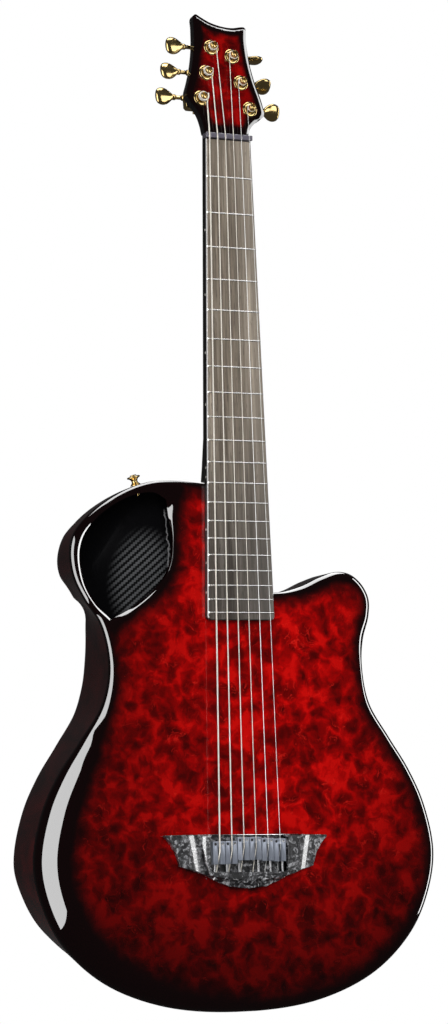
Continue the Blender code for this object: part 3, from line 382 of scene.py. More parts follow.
def leaf(outer, inner, depth):
    one = smooth_run([on_body(p) + (0,) for p in outer], fine_steps)
    two = smooth_run([on_body(p) + (0,) for p in inner], fine_steps)
    return [Vector((p.x, depth, p.y)) for p in one[:-1] + two[:-1]]


class Finish:
    """A material with its shader, and short calls for the nodes that colour it."""

    def __init__(self, name, roughness, metallic=0.0, coat=0.0, coat_roughness=0.03, specular=0.5):
        self.made = bpy.data.materials.new(name)
        self.made.use_nodes = True
        self.tree = self.made.node_tree
        self.shader = self.tree.nodes["Principled BSDF"]
        for key, value in (("Roughness", roughness), ("Metallic", metallic), ("Coat Weight", coat),
                           ("Coat Roughness", coat_roughness), ("Specular IOR Level", specular)):
            self.shader.inputs[key].default_value = value
        self.place = self.node("ShaderNodeTexCoord", "Object")

    def put(self, socket, value):
        """A number, a colour, or a link from another node."""
        if isinstance(value, bpy.types.NodeSocket):
            self.tree.links.new(value, socket)
        elif socket.type == "RGBA":
            socket.default_value = (*value, 1)
        else:
            socket.default_value = value

    def node(self, kind, output=0, inputs=(), **settings):
        """Adds a node, sets it, fills its inputs, and gives one of its outputs."""
        made = self.tree.nodes.new(kind)
        for key, value in settings.items():
            setattr(made, key, value)
        for key, value in dict(inputs).items():
            self.put(made.inputs[key], value)
        return made.outputs[output]

    def scaled(self, scale, of=None):
        return self.node("ShaderNodeMapping", 0, {"Vector": of or self.place, "Scale": scale})

    def noise(self, place, scale, detail=3.0, rough=0.5, bent=0.0, output="Fac"):
        return self.node("ShaderNodeTexNoise", output, {
            "Vector": place, "Scale": scale, "Detail": detail, "Roughness": rough, "Distortion": bent})

    def cells(self, place, scale, output="Distance", smooth=0.0):
        inputs = {"Vector": place, "Scale": scale}
        if smooth:
            inputs["Smoothness"] = smooth
        return self.node("ShaderNodeTexVoronoi", output, inputs, feature="SMOOTH_F1" if smooth else "F1")

    def sum(self, operation, a, b=0.0):
        return self.node("ShaderNodeMath", 0, {0: a, 1: b}, operation=operation)

    def plus(self, a, b):
        return self.sum("ADD", a, b)

    def minus(self, a, b):
        return self.sum("SUBTRACT", a, b)

    def times(self, a, b):
        return self.sum("MULTIPLY", a, b)

    def away(self, a, b=0.0):
        """How far a value lies from another one, either way."""
        return self.sum("ABSOLUTE", self.minus(a, b))

    def vectors(self, operation, a, b):
        return self.node("ShaderNodeVectorMath", 0, {0: a, "Scale" if operation == "SCALE" else 1: b},
                         operation=operation)

    def pulled(self, place, by, scale, amount):
        """A place moved this way and that by a coloured noise at another place."""
        pull = self.vectors("SUBTRACT", self.noise(by, scale, 2, output="Color"), (0.5, 0.5, 0.5))
        return self.vectors("ADD", place, self.vectors("SCALE", pull, amount))

    def ramp(self, value, *stops):
        made = self.tree.nodes.new("ShaderNodeValToRGB")
        elements = made.color_ramp.elements
        while len(elements) < len(stops):
            elements.new(0.5)
        for element, (spot, colour) in zip(elements, stops):
            element.position = spot
            element.color = (*colour, 1)
        self.put(made.inputs[0], value)
        return made.outputs[0]

    def between(self, value, low, high, to_low=0.0, to_high=1.0):
        return self.node("ShaderNodeMapRange", 0, enumerate((value, low, high, to_low, to_high)),
                         interpolation_type="SMOOTHSTEP")

    def mix(self, share, a, b, kind="MIX"):
        return self.node("ShaderNodeMix", 2, {0: share, 6: a, 7: b}, data_type="RGBA", blend_type=kind)

    def attribute(self, name):
        return self.node("ShaderNodeAttribute", "Fac", attribute_name=name)

    def axis(self, which, place=None):
        return self.node("ShaderNodeSeparateXYZ", which, {0: place or self.place})

    def bump(self, height, strength, distance=0.0002):
        self.put(self.shader.inputs["Normal"], self.node("ShaderNodeBump", 0, {
            "Strength": strength, "Distance": distance, "Height": height}))

    def shade(self, colour):
        self.put(self.shader.inputs["Base Color"], colour)
        return self.made


def burl(name, roughness, dark_edge, fade, lit_middle, lit_width, level, bevel=None):
    """Curled red burl: bright islands between dark swirls, with fine curved veins over both, and painted
    light and shade: brightest round lit_middle, darker to the sides and the tail.
    """
    f = Finish(name, roughness, coat=1.0, coat_roughness=0.015, specular=0.0)
    flat = f.scaled((1, 0.3, 1))
    bent = f.pulled(flat, flat, 34, 0.022)
    curled = f.pulled(bent, flat, 120, 0.009)
    patches = f.noise(bent, 24, 3, 0.5, 0.4)
    swirls = f.noise(curled, 84, 5, 0.62, 1.3)
    eyes = f.cells(curled, 74, smooth=0.30)
    small_eyes = f.cells(curled, 118)
    veins = f.away(f.noise(curled, 46, 2, 0.5, 1.6), 0.5)
    vein = f.between(veins, 0.0, 0.012, 1.0, 0.0)
    shown = f.between(f.noise(flat, 40, 2), 0.46, 0.60)
    tone = f.plus(f.times(patches, 0.66), f.times(swirls, 0.64))
    grain = f.noise(f.scaled((1, 0.3, 0.55), of=curled), 420, 3, 0.6)
    for figure, middle_tone, weight in ((eyes, 0.42, 0.62), (small_eyes, 0.40, 0.30), (grain, 0.5, 0.10)):
        tone = f.plus(tone, f.times(f.minus(figure, middle_tone), weight))
    red = f.ramp(tone, (0.40, (0.080, 0.0001, 0.0002)), (0.55, (0.140, 0.0002, 0.0003)),
                 (0.66, (0.215, 0.0003, 0.0004)), (0.76, (0.310, 0.0004, 0.0004)),
                 (0.86, (0.450, 0.0006, 0.0006)), (0.96, (0.640, 0.0030, 0.0020)))
    red = f.mix(f.times(f.times(vein, shown), 0.55), red, (0.90, 0.020, 0.012))
    edge = f.attribute("from_edge")
    cloud = f.times(f.minus(f.noise(f.place, 30, 2), 0.5), 0.008)
    open_wood = f.between(f.plus(edge, cloud), dark_edge, fade)
    # Painted light and shade: the red is brightest round lit_middle, fades to side_light across, to
    # tail_light towards the tail, and is scaled by level.
    full_light, side_light, tail_light, tail_start, tail_reach = 0.020, 0.40, 0.12, 0.010, 0.200
    painted_light_across = f.between(f.away(f.axis(0), lit_middle), full_light, lit_width, 1.0, side_light)
    painted_shade_to_tail = f.between(f.axis(2), tail_z + tail_start, tail_z + tail_reach, tail_light * level, level)
    red = f.mix(1.0, red, f.mix(f.times(painted_light_across, painted_shade_to_tail), (0, 0, 0), (1, 1, 1)), "MULTIPLY")
    red = f.mix(open_wood, (0.0035, 0.0006, 0.0008), red)
    if bevel:
        start, width, slope = bevel
        f.bump(f.sum("MINIMUM", f.sum("MAXIMUM", f.minus(edge, start), 0.0), width), 1.0, slope)
    else:
        f.bump(f.noise(f.place, 9, 1), 0.03, 0.001)
    return f.shade(red)


# Painted light on the top: brighter down the middle, darker towards the sides and towards the tail.
top_burl = burl("burl_top", 0.30, dark_edge=0.0020, fade=0.0210, lit_middle=0.030, lit_width=0.180,
                level=0.86)
top = bmesh.new()
roll_steps, roll_fullness, roll_width = 12, 1.65, 1.40
roll_turns = [pi / 2 * i / roll_steps for i in range(roll_steps)] + [pi / 2]


def on_roll(turn):
    """How far round the rolled edge a point lies: flatter between face and side than a circle."""
    return sin(turn) ** (2 / roll_fullness), cos(turn) ** (2 / roll_fullness)


outer = [inset_ring(lambda p, n, t=t: p.z * roll_width * (1 - on_roll(t)[0]),
                    lambda p, n, t=t: p.z * (1 - on_roll(t)[1])) for t in roll_turns]
outer.append(inset_ring(lambda p, n: 0, lambda p, n: seam_depth(p.z)))
outer.append(inset_ring(lambda p, n: wall, lambda p, n: seam_depth(p.z)))
outer.append(inset_ring(lambda p, n: max(p.z * roll_width, wall), lambda p, n: wall))
top_loops = skin(top, outer)
face_mesh_step, hidden_mesh_step = 0.0042, 0.009
fill_flat(top, top_loops[0], face_mesh_step, lambda x, y: 0.0)
fill_flat(top, top_loops[-1], hidden_mesh_step, lambda x, y: wall)


def near(spot, ring):
    """Distance in the plane of the top from a spot to a closed ring."""
    best = 1.0
    for a, b in zip(ring, ring[1:] + ring[:1]):
        run = b - a
        share = max(0.0, min(1.0, (spot - a).dot(run) / max(run.length_squared, 1e-12)))
        best = min(best, (spot - a - run * share).length)
    return best


def inside(spot, ring):
    """Whether a spot in the plane of the top lies inside a closed ring."""
    crossings = 0
    for a, b in zip(ring, ring[1:] + ring[:1]):
        if (a.y > spot.y) != (b.y > spot.y) and spot.x < a.x + (b.x - a.x) * (spot.y - a.y) / (b.y - a.y):
            crossings += 1
    return crossings % 2 == 1


def store_from_edge(made, distance):
    """Stores how far each point lies from the edges that the black is sprayed along."""
    store = made.data.attributes.new("from_edge", "FLOAT", "POINT")
    for vert, item in zip(made.data.vertices, store.data):
        item.value = distance(Vector((vert.co.x, vert.co.z)))


def only(*chosen):
    """Selects these objects alone and makes the first one active."""
    bpy.ops.object.select_all(action="DESELECT")
    for one in chosen:
        one.select_set(True)
    bpy.context.view_layer.objects.active = chosen[0]


def carve(target, tool, operation="DIFFERENCE"):
    """Applies a Boolean of a tool to a piece, and clears the tool away."""
    only(target)
    modifier = target.modifiers.new("carve", "BOOLEAN")
    modifier.operation = operation
    modifier.solver = "EXACT"
    modifier.object = tool
    bpy.ops.object.modifier_apply(modifier="carve")
    bpy.data.objects.remove(tool)


def smooth_edges(made, angle=35):
    only(made)
    bpy.ops.object.shade_smooth_by_angle(angle=radians(angle))


ridge_ring = leaf(ridge_outer, ridge_inner, 0)
rim_ring = leaf(rim_outer, rim_inner, hole_bevel_depth)
ridge_profile = [(-0.45, -0.00012), (-0.14, 0.00006), (0.0, 0.00020), (0.15, 0.00042), (0.35, 0.00085),
                 (0.55, 0.00140), (0.78, 0.00210), (1.0, hole_bevel_depth)]
leaf_rings = [[Vector((a.x + (b.x - a.x) * share, depth, a.z + (b.z - a.z) * share))
               for a, b in zip(ridge_ring, rim_ring)] for share, depth in ridge_profile]
leaf_mesh = bmesh.new()
leaf_loops = skin(leaf_mesh, leaf_rings + [leaf(rim_outer, rim_inner, cutter_depth)])
leaf_mesh.faces.new(leaf_loops[0])
leaf_mesh.faces.new(leaf_loops[-1])
top_piece = piece_from("burl_top_plate", top, top_burl, smooth=40)
carve(top_piece, piece_from("leaf_cutter", leaf_mesh, top_burl))
smooth_edges(top_piece, 40)
spray_from_edge, spray_reach = 0.0028, 1.5
spray_ring = inset_ring(lambda p, n: max(p.z - spray_from_edge, 0) * spray_reach, lambda p, n: 0)
sprayed = [[Vector((p.x, p.z)) for p in ring[::3]] for ring in (spray_ring, ridge_ring)]


def from_spray(spot):
    bare = inside(spot, sprayed[0]) and not inside(spot, sprayed[1])
    return min(near(spot, ring) for ring in sprayed) if bare else 0


store_from_edge(top_piece, from_spray)
keep(top_piece, "red_burl", "soundboard")


# The shell: sides and back in one moulding of black carbon, lacquered outside and bare inside,
# where the weave shows. It is shallow round the heel, leans in towards the tail, and is bonded
# to the top along a thin seam below the rolled edge.

side_lean, tail_lean = radians(2), radians(16)
full_body_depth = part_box("body_shell")[1].y
heel_depth, heel_scoop_start, heel_scoop_end = 0.022, 0.025, 0.220
shoulder_edge_radius, back_edge_radius, waist_drop = 0.038, 0.018, 0.159
seam_gap = 0.0003


def full_depth(x, z):
    reach = (hypot(x, z - joint_z) - heel_scoop_start) / (heel_scoop_end - heel_scoop_start)
    return heel_depth + (full_body_depth - heel_depth) * ease(reach)


def wall_end(point, normal):
    """How far the side is drawn in, and how deep it is, where the back's rounded edge starts."""
    roll = seam_depth(point.z)
    first = full_depth(point.x, point.y)
    blend = ease((joint_z - point.y) / waist_drop)
    radius = shoulder_edge_radius + (back_edge_radius - shoulder_edge_radius) * blend
    radius = min(radius, (first - roll) * 0.6)
    inset = tan(side_lean + (tail_lean - side_lean) * ease(-normal.y)) * (first - radius - roll)
    spot = point.xy - normal * (inset + radius)
    return inset, full_depth(spot.x, spot.y) - radius, radius


ends = {id(point): wall_end(point, normal) for point, normal in zip(outline, outward)}


def back_ring(turn, thickness):
    """The back's rounded edge: turn 0 is on the side, a quarter turn is in the back's face."""
    out, deep = 1 - cos(turn), sin(turn)
    return inset_ring(lambda p, n: ends[id(p)][0] + thickness + (ends[id(p)][2] - thickness) * out,
                      lambda p, n: ends[id(p)][1] + (ends[id(p)][2] - thickness) * deep)


def twill(finish, tow, place=None):
    """A 2/2 twill: where the tows along the cloth lie on top, and how high the cloth is."""
    across = finish.axis(0, place)
    along = finish.axis(2, place)
    u = finish.sum("DIVIDE", across, tow)
    v = finish.sum("DIVIDE", along, tow)
    step = finish.sum("FLOOR", u)
    row = finish.sum("FLOOR", v)
    stair = finish.sum("FLOORED_MODULO", finish.plus(step, row), 4.0)
    over = finish.sum("LESS_THAN", stair, 2.0)
    round_u = finish.sum("PINGPONG", u, 0.5)
    round_v = finish.sum("PINGPONG", v, 0.5)
    return over, finish.node("ShaderNodeMix", 0, {0: over, 2: round_u, 3: round_v}, data_type="FLOAT")


def lacquered_carbon(name, tint):
    """Black carbon cloth under clear lacquer, with a trace of its twill and of red dye."""
    f = Finish(name, 0.32, coat=1.0, coat_roughness=0.02, specular=0.0)
    weave = f.mix(twill(f, 0.0020)[0], tint, tuple(c * 1.5 for c in tint))
    low = f.between(f.noise(f.place, 7, 2), 0.35, 0.65)
    f.bump(f.noise(f.place, 12, 1), 0.02, 0.001)
    return f.shade(f.mix(f.times(low, 0.5), weave, tuple(c * 0.5 for c in tint)))


def shell_lacquer():
    """The sides' black lacquer, turning red towards the lower bout and towards the top's edge."""
    f = Finish("shell_lacquer", 0.30, coat=1.0, coat_roughness=0.02, specular=0.0)
    swirl = f.noise(f.scaled((1, 0.6, 1)), 38, 4, 0.55, 0.8)
    # Redder towards the lower bout and towards the top's edge, blacker above and towards the back.
    reddest_below, black_above = joint_z - 0.40, joint_z - 0.20
    low = f.between(f.axis(2), reddest_below, black_above, 1.0, 0.0)
    side = f.ramp(swirl, (0.35, (0.014, 0.0026, 0.0028)), (0.70, (0.040, 0.0044, 0.0048)))
    red = f.ramp(swirl, (0.35, (0.020, 0.0016, 0.0018)), (0.70, (0.110, 0.0030, 0.0034)))
    front = f.between(f.axis(1), 0.010, 0.060, 1.0, 0.25)
    f.bump(f.noise(f.place, 10, 1), 0.02, 0.001)
    return f.shade(f.mix(f.times(low, front), side, red))


def bare_weave():
    """Bare carbon twill inside the body, shown in a painted pool of light and black round it, with a painted
    ragged glint along a crease.
    """
    f = Finish("bare_weave", 0.38, coat=0.10, coat_roughness=0.10, specular=0.0)
    mirrored_place = f.scaled((1, 1, -1))
    over, height = twill(f, 0.0017, mirrored_place)
    # Painted light: the twill shows only in this pool, where light falls through the soundhole; round it the
    # cloth is painted black as shade.
    light_pool_x, light_pool_z, light_pool_half_width, light_pool_half_height = -0.072, -0.384, 0.030, 0.046
    aside = f.sum("DIVIDE", f.plus(f.axis(0), -light_pool_x), light_pool_half_width)
    below = f.sum("DIVIDE", f.plus(f.axis(2), -light_pool_z), light_pool_half_height)
    off = f.plus(f.times(aside, aside), f.times(below, below))
    painted_light_pool = f.between(off, 0.15, 1.0, 1.0, 0.0)
    cloth = f.mix(over, (0.006, 0.006, 0.0065), (0.150, 0.154, 0.160))
    cloth = f.mix(painted_light_pool, (0.003, 0.003, 0.0035), cloth)
    fibre = f.noise(f.scaled((0.2, 1, 1), of=mirrored_place), 900, 2)
    cloth = f.mix(f.times(fibre, 0.5), cloth, (0.004, 0.004, 0.0045))
    ragged = f.times(f.minus(f.noise(f.place, 260, 3), 0.5), 0.006)
    # Painted highlight: a ragged glint along the crease between the inner wall and the back.
    glint_x, glint_z, glint_lean = -0.0530, -0.3523, 0.15
    down = f.plus(f.axis(2), -glint_z)
    from_glint = f.plus(f.plus(f.axis(0), -glint_x), f.times(down, glint_lean))
    painted_glint = f.between(f.away(f.plus(from_glint, ragged)), 0.0003, 0.0009, 1.0, 0.0)
    stretch = f.between(f.away(down), 0.022, 0.028, 1.0, 0.0)
    f.bump(height, 0.5, 0.0003)
    return f.shade(f.mix(f.times(painted_glint, stretch), cloth, (0.30, 0.30, 0.31)))


weave = bare_weave()
shell = bmesh.new()
edge_steps = 10
edge_turns = [pi / 2 * i / edge_steps for i in range(edge_steps + 1)]
shell_rings = [back_ring(t, 0) for t in reversed(edge_turns)]
side_shares = (0.66, 0.33)
for share in side_shares:
    shell_rings.append(inset_ring(lambda p, n: ends[id(p)][0] * share,
                                  lambda p, n: seam_depth(p.z) + (ends[id(p)][1] - seam_depth(p.z)) * share))
shell_rings.append(inset_ring(lambda p, n: 0, lambda p, n: seam_depth(p.z) + seam_gap))
inner_rings = [inset_ring(lambda p, n: wall, lambda p, n: seam_depth(p.z) + seam_gap)]
inner_rings += [back_ring(t, wall) for t in edge_turns[::2]]
outer_loops = skin(shell, shell_rings)
inner_loops = skin(shell, [outer_loops[-1]] + inner_rings, slot=1)
back_mesh_step = 0.010
fill_flat(shell, outer_loops[0], back_mesh_step, full_depth)
fill_flat(shell, inner_loops[-1], back_mesh_step, lambda x, z: full_depth(x, z) - wall, slot=1)
shell_piece = piece_from("carbon_shell", shell, shell_lacquer(), weave, smooth=40)


def rod(radius, low, high, sides=32):
    """A round bar between two points, made as a cylinder."""
    axis = Vector(high) - Vector(low)
    bpy.ops.object.select_all(action="DESELECT")
    bpy.ops.mesh.primitive_cylinder_add(vertices=sides, radius=radius, depth=axis.length,
                                        location=(Vector(low) + Vector(high)) / 2,
                                        rotation=axis.to_track_quat("Z", "Y").to_euler())
    bpy.ops.object.transform_apply(location=True, rotation=True, scale=True)
    return bpy.context.object


jack_out = Vector((0, sin(tail_lean), -cos(tail_lean)))
jack_depth, jack_bore, jack_reach = 0.042, 0.0062, 0.008
jack_face = Vector((0, jack_depth, tail_z + tan(tail_lean) * (jack_depth - seam_depth(lower_half[-1][2]))))
carve(shell_piece, rod(jack_bore, jack_face - jack_out * jack_reach, jack_face + jack_out * jack_reach))
keep(shell_piece, "gloss_carbon", "body_shell")


# Neck and headstock: one carbon moulding, rounded behind, with the headstock leaning back. It is
# bonded to the block inside the body, and its headstock is bored for the six bushings.

board_low, board_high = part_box("fretboard")
nut_thickness = 0.0050
board_width_at_nut, board_width_at_end = 0.0435, board_high.x - board_low.x
board_length = -board_low.z
neck_gap = 0.0003
headstock_tilt = radians(6.8)
face_height = 0.0051
headstock_thickness, overlay_thickness, rear_bevel = 0.0125, 0.0015, 0.0045
headstock_outline = [
    (0.0215, 0.0003), (0.0232, 0.0070), (0.0290, 0.0135), (0.0368, 0.0193),
    (0.0382, 0.0230), (0.0368, 0.0330), (0.0310, 0.0530), (0.0272, 0.0730),
    (0.0262, 0.0900), (0.0266, 0.1020), (0.0250, 0.1034), (0.0130, 0.1015),
    (0.0030, 0.1020), (-0.0084, 0.1048), (-0.0170, 0.1090), (-0.0215, 0.1113),
    (-0.0240, 0.1095), (-0.0243, 0.1000), (-0.0256, 0.0810), (-0.0290, 0.0620),
    (-0.0330, 0.0480), (-0.0365, 0.0370), (-0.0360, 0.0335), (-0.0320, 0.0275),
    (-0.0262, 0.0195), (-0.0230, 0.0100), (-0.0215, 0.0003),
]
to_top = Matrix(((1, 0, 0, 0), (0, 0, -1, 0), (0, 1, 0, 0), (0, 0, 0, 1)))
to_face = Matrix.Translation((0, -face_height, nut_thickness)) @ Matrix.Rotation(
    pi / 2 - headstock_tilt, 4, "X")


def board_half_width(down):
    return (board_width_at_nut + (board_width_at_end - board_width_at_nut) * down / board_length) / 2


def loft(rings, place, closed=False):
    """A closed body through rings of equal length, put in its place."""
    mesh = bmesh.new()
    loops = skin(mesh, rings, closed=closed)
    if not closed:
        mesh.faces.new(list(reversed(loops[0])))
        mesh.faces.new(loops[-1])
    bmesh.ops.transform(mesh, matrix=place, verts=mesh.verts)
    return mesh


def neck_ring(y, depth, squareness, steps=28):
    """A flat front and a rounded back. A squareness over 1 fills the corners."""
    half = board_half_width(max(-y, 0)) - neck_gap
    points = []
    for i in range(steps + 1):
        turn = pi * i / steps
        x = half * abs(cos(turn)) ** (1 / squareness) * (1 if cos(turn) >= 0 else -1)
        points.append(Vector((x, y, min(-depth * sin(turn) ** (1 / squareness), -neck_gap))))
    return points + [Vector((-half, y, 0)), Vector((half, y, 0))]


heel_end, heel_start = joint_z + 0.0025, joint_z + 0.040
under_face = headstock_thickness - face_height
stations = [
    (heel_end, 0.0215, 1.5), (heel_end + (heel_start - heel_end) * 0.3, 0.01935, 1.4),
    (heel_start, 0.0155, 1.15), (heel_start * 0.75, 0.0148, 1.12), (heel_start * 0.5, 0.0142, 1.1),
    (heel_start * 0.25, 0.0136, 1.1), (-0.012, 0.0130, 1.1), (nut_thickness, 0.0108, 1.15),
    (nut_thickness + 0.014, under_face + 0.0002, 1.3),
]
neck_rings = [neck_ring(*station) for station in stations]
tip_width, tip_reach = 0.8, 0.006
neck_rings.append([Vector((p.x * tip_width, p.y + tip_reach, min(p.z, -0.003) * 0.5 - 0.001))
                   for p in neck_rings[-1]])
neck_lacquer = lacquered_carbon("neck_lacquer", (0.0060, 0.0050, 0.0056))
neck_piece = piece_from("neck_moulding", loft(neck_rings, to_top), neck_lacquer)

head_steps = 6
head_run = smooth_run([(x, y, 0) for x, y in headstock_outline], head_steps)
head_inward = [-normal for normal in edge_normals(head_run)]


def head_ring(inset, level):
    return [Vector((p.x + n.x * inset, p.y + n.y * inset, level)) for p, n in zip(head_run, head_inward)]


tuner_pitch, tuner_row_lean = 0.0243, 0.0068
tuner_bore, drill_low, drill_high = 0.0050, -0.03, 0.01
tuners = []
for index in range(6):
    x, y, side, step = (-0.0233, 0.0317, -1, index) if index < 3 else (0.0236, 0.0251, 1, 5 - index)
    tuners.append((x - side * tuner_row_lean * step, y + tuner_pitch * step, side))

plate_rings = [head_ring(0, -overlay_thickness - neck_gap), head_ring(0, rear_bevel - headstock_thickness)]
plate_rings += [head_ring(rear_bevel * (1 - cos(t)), rear_bevel * (1 - sin(t)) - headstock_thickness)
                for t in (pi / 8, pi / 4, pi * 3 / 8, pi / 2)]


def six_drills():
    """Six round cutters in one object, at the tuners' places."""
    made = [rod(tuner_bore, to_face @ Vector((x, y, drill_low)), to_face @ Vector((x, y, drill_high)), 36)
            for x, y, side in tuners]
    only(*made)
    bpy.ops.object.join()
    return bpy.context.object


def brick(middle, size):
    """A box with straight faces, made as a cube."""
    bpy.ops.object.select_all(action="DESELECT")
    bpy.ops.mesh.primitive_cube_add(size=1, location=middle)
    made = bpy.context.object
    made.scale = size
    bpy.ops.object.transform_apply(location=True, rotation=True, scale=True)
    return made


plate = piece_from("plate", loft(plate_rings, to_face), neck_lacquer)
carve(plate, six_drills())
carve(neck_piece, plate, "UNION")
ledge_width, ledge_rise = 0.087, 0.020
carve(neck_piece, brick((0, -ledge_rise / 2, nut_thickness / 2),
                        (ledge_width, ledge_rise, nut_thickness + 2 * neck_gap)))


def clean(made):
    """Merges doubles, and lays the tiny slivers of a cut together."""
    only(made)
    bpy.ops.object.mode_set(mode="EDIT")
    bpy.ops.mesh.select_all(action="SELECT")
    bpy.ops.mesh.remove_doubles(threshold=0.00001)
    bpy.ops.mesh.dissolve_limited(angle_limit=radians(0.6))
    bpy.ops.object.mode_set(mode="OBJECT")


clean(neck_piece)
smooth_edges(neck_piece, 40)
keep(neck_piece, "gloss_carbon", "neck")


# Headstock face: a slip of the same burl glued to the carbon, with a polished chamfer all round
# under the lacquer, and bored for the six bushings.

face_chamfer, square_edge, chamfer_swell, head_mesh_step = 0.0030, 0.0004, 1.15, 0.0015
overlay_rings = [head_ring(0, -overlay_thickness), head_ring(0, -overlay_thickness + square_edge)]
overlay_rings += [head_ring(face_chamfer * share,
                            -(overlay_thickness - square_edge) * (1 - share) ** chamfer_swell)
                  for share in (0.45, 0.85, 1.0)]
# Painted light on the headstock face: brighter down its middle, darker towards its sides, and darker overall
# by level.
head_burl = burl("burl_headstock", 0.30, dark_edge=0.0056, fade=0.0120, lit_middle=0.013, lit_width=0.040,
                 level=0.44, bevel=(0.0012, 0.0044, 0.25))
overlay_mesh = bmesh.new()
overlay_loops = skin(overlay_mesh, overlay_rings)
overlay_mesh.faces.new(list(reversed(overlay_loops[0])))
for vert in overlay_mesh.verts:
    vert.co = Vector((vert.co.x, vert.co.z, vert.co.y))
fill_flat(overlay_mesh, overlay_loops[-1], head_mesh_step, lambda x, y: 0.0)
for vert in overlay_mesh.verts:
    vert.co = to_face @ Vector((vert.co.x, vert.co.z, vert.co.y))
overlay_piece = piece_from("burl_headstock_face", overlay_mesh, head_burl, smooth=50)
carve(overlay_piece, six_drills())
flat_head = [Vector((p.x, (to_face @ Vector((p.x, p.y, 0))).z)) for p in head_run]
store_from_edge(overlay_piece, lambda spot: near(spot, flat_head))
smooth_edges(overlay_piece, 30)
keep(overlay_piece, "red_burl", "headstock_overlay", group=head_face)


# Fretboard: dark streaked composite with a black lacquered edge, glued along the neck and over
# the top, with white side dots on the bass side, and twenty steel frets pressed in and dressed
# at their ends.

board_chamfer, fret_proud = 0.0009, 0.0009
board_top = -board_low.y - fret_proud
board_bottom = neck_gap
fret_width, fret_height, fret_foot, fret_inset = 0.0016, 0.0008, 0.0002, 0.0003
fret_end, fret_end_rise, fret_end_lean = 0.0002, 0.0003, 0.0008


def board_finish():
    """Streaks of grey and brown along the board, with a painted sheen: lighter towards the treble side and
    up the neck.
    """
    f = Finish("board_streaks", 0.42, coat=0.8, coat_roughness=0.10, specular=0.1)
    long_way = f.scaled((1, 1, 0.03))
    broad = f.noise(long_way, 150, 4, 0.6)
    fine = f.noise(long_way, 900, 3, 0.6)
    tone = f.plus(f.times(broad, 0.7), f.times(fine, 0.3))
    streak = f.ramp(tone, (0.34, (0.030, 0.025, 0.021)), (0.48, (0.070, 0.060, 0.051)),
                    (0.58, (0.120, 0.106, 0.092)), (0.70, (0.210, 0.190, 0.170)))
    pores = f.between(f.noise(f.scaled((1, 1, 0.10)), 1300, 2), 0.62, 0.70, 0.0, 0.6)
    streak = f.mix(pores, streak, (0.022, 0.018, 0.016))
    # Painted sheen: the streaks turn lighter towards the treble side and, up to about twice as light,
    # towards the nut.
    sheen_x, full_sheen_x, sheen_z, full_sheen_z = -0.010, 0.034, -0.400, -0.200
    side = f.between(f.axis(0), sheen_x, full_sheen_x, 0.0, 0.22)
    streak = f.mix(side, streak, (0.26, 0.24, 0.22))
    pale = f.mix(1.0, streak, (2.3, 2.2, 2.0), "MULTIPLY")
    streak = f.mix(f.between(f.axis(2), sheen_z, full_sheen_z), streak, pale)
    face = f.between(f.axis(1), -board_top, -board_top + 0.0006, 1.0, 0.0)
    f.bump(fine, 0.15, 0.0001)
    return f.shade(f.mix(face, (0.006, 0.005, 0.005), streak))


board_corner = 0.0040
corner_turns = [pi / 2 * i / 6 for i in range(7)]
half_end = board_half_width(board_length)
board_plan = [(board_half_width(0), 0)]
board_plan += [(half_end - board_corner * (1 - cos(t)), -board_length + board_corner * (1 - sin(t)))
               for t in corner_turns]
board_plan += [(-x, y) for x, y in reversed(board_plan)]
board_run = [Vector((x, y, 0)) for x, y in board_plan]
board_in = [-normal for normal in edge_normals(board_run)]
if board_in[0].dot(-board_run[0].xy) < 0:
    board_in = [-n for n in board_in]


def board_ring(inset, level):
    return [Vector((p.x + n.x * inset, p.y + n.y * inset, level)) for p, n in zip(board_run, board_in)]


board_rings = [board_ring(0, board_bottom), board_ring(0, board_top - board_chamfer),
               board_ring(board_chamfer, board_top)]
board_piece = piece_from("fretboard_slab", loft(board_rings, to_top), board_finish(), smooth=30)
keep(board_piece, "board_black", "fretboard")


def metal(name, colour, roughness):
    """Polished or plated metal, a little uneven in tone and in gloss."""
    f = Finish(name, roughness, metallic=1.0)
    cloud = f.noise(f.place, 60, 3)
    fine = f.noise(f.place, 900, 2)
    uneven = f.plus(f.times(cloud, 0.7), f.times(fine, 0.3))
    f.put(f.shader.inputs["Roughness"], f.between(uneven, 0.35, 0.65, roughness * 0.75, roughness * 1.35))
    f.bump(fine, 0.10, 0.00005)
    return f.shade(f.mix(cloud, tuple(c * 0.86 for c in colour), colour))


fret_steel = metal("fret_steel", (0.86, 0.85, 0.83), 0.16)
for number in range(1, 21):
    down = fret_distance(number)
    half = board_half_width(down) - fret_inset
    bpy.ops.object.select_all(action="DESELECT")
    bpy.ops.mesh.primitive_cylinder_add(vertices=28, radius=fret_width / 2, depth=2 * half,
                                        location=(0, 0, 0), rotation=(0, pi / 2, 0))
    fret = bpy.context.object
    fret.name = f"fret_{number:02d}"
    bpy.ops.object.transform_apply(location=True, rotation=True, scale=True)
    bpy.ops.object.mode_set(mode="EDIT")
    bpy.ops.mesh.select_all(action="SELECT")
    bpy.ops.mesh.bisect(plane_co=(0, fret_foot, 0), plane_no=(0, 1, 0), clear_outer=True, use_fill=True)
    bpy.ops.object.mode_set(mode="OBJECT")
    for vert in fret.data.vertices:
        vert.co.y *= fret_height / (fret_width / 2) if vert.co.y < 0 else 1
        if abs(vert.co.x) > half - fret_end and vert.co.y < -fret_end_rise:
            vert.co.x -= fret_end_lean * (1 if vert.co.x > 0 else -1)
    fret.data.transform(Matrix.Translation((0, -board_top, -down)))
    fret.data.materials.append(fret_steel)
    smooth_edges(fret, 40)
    keep(fret, "screw_steel")


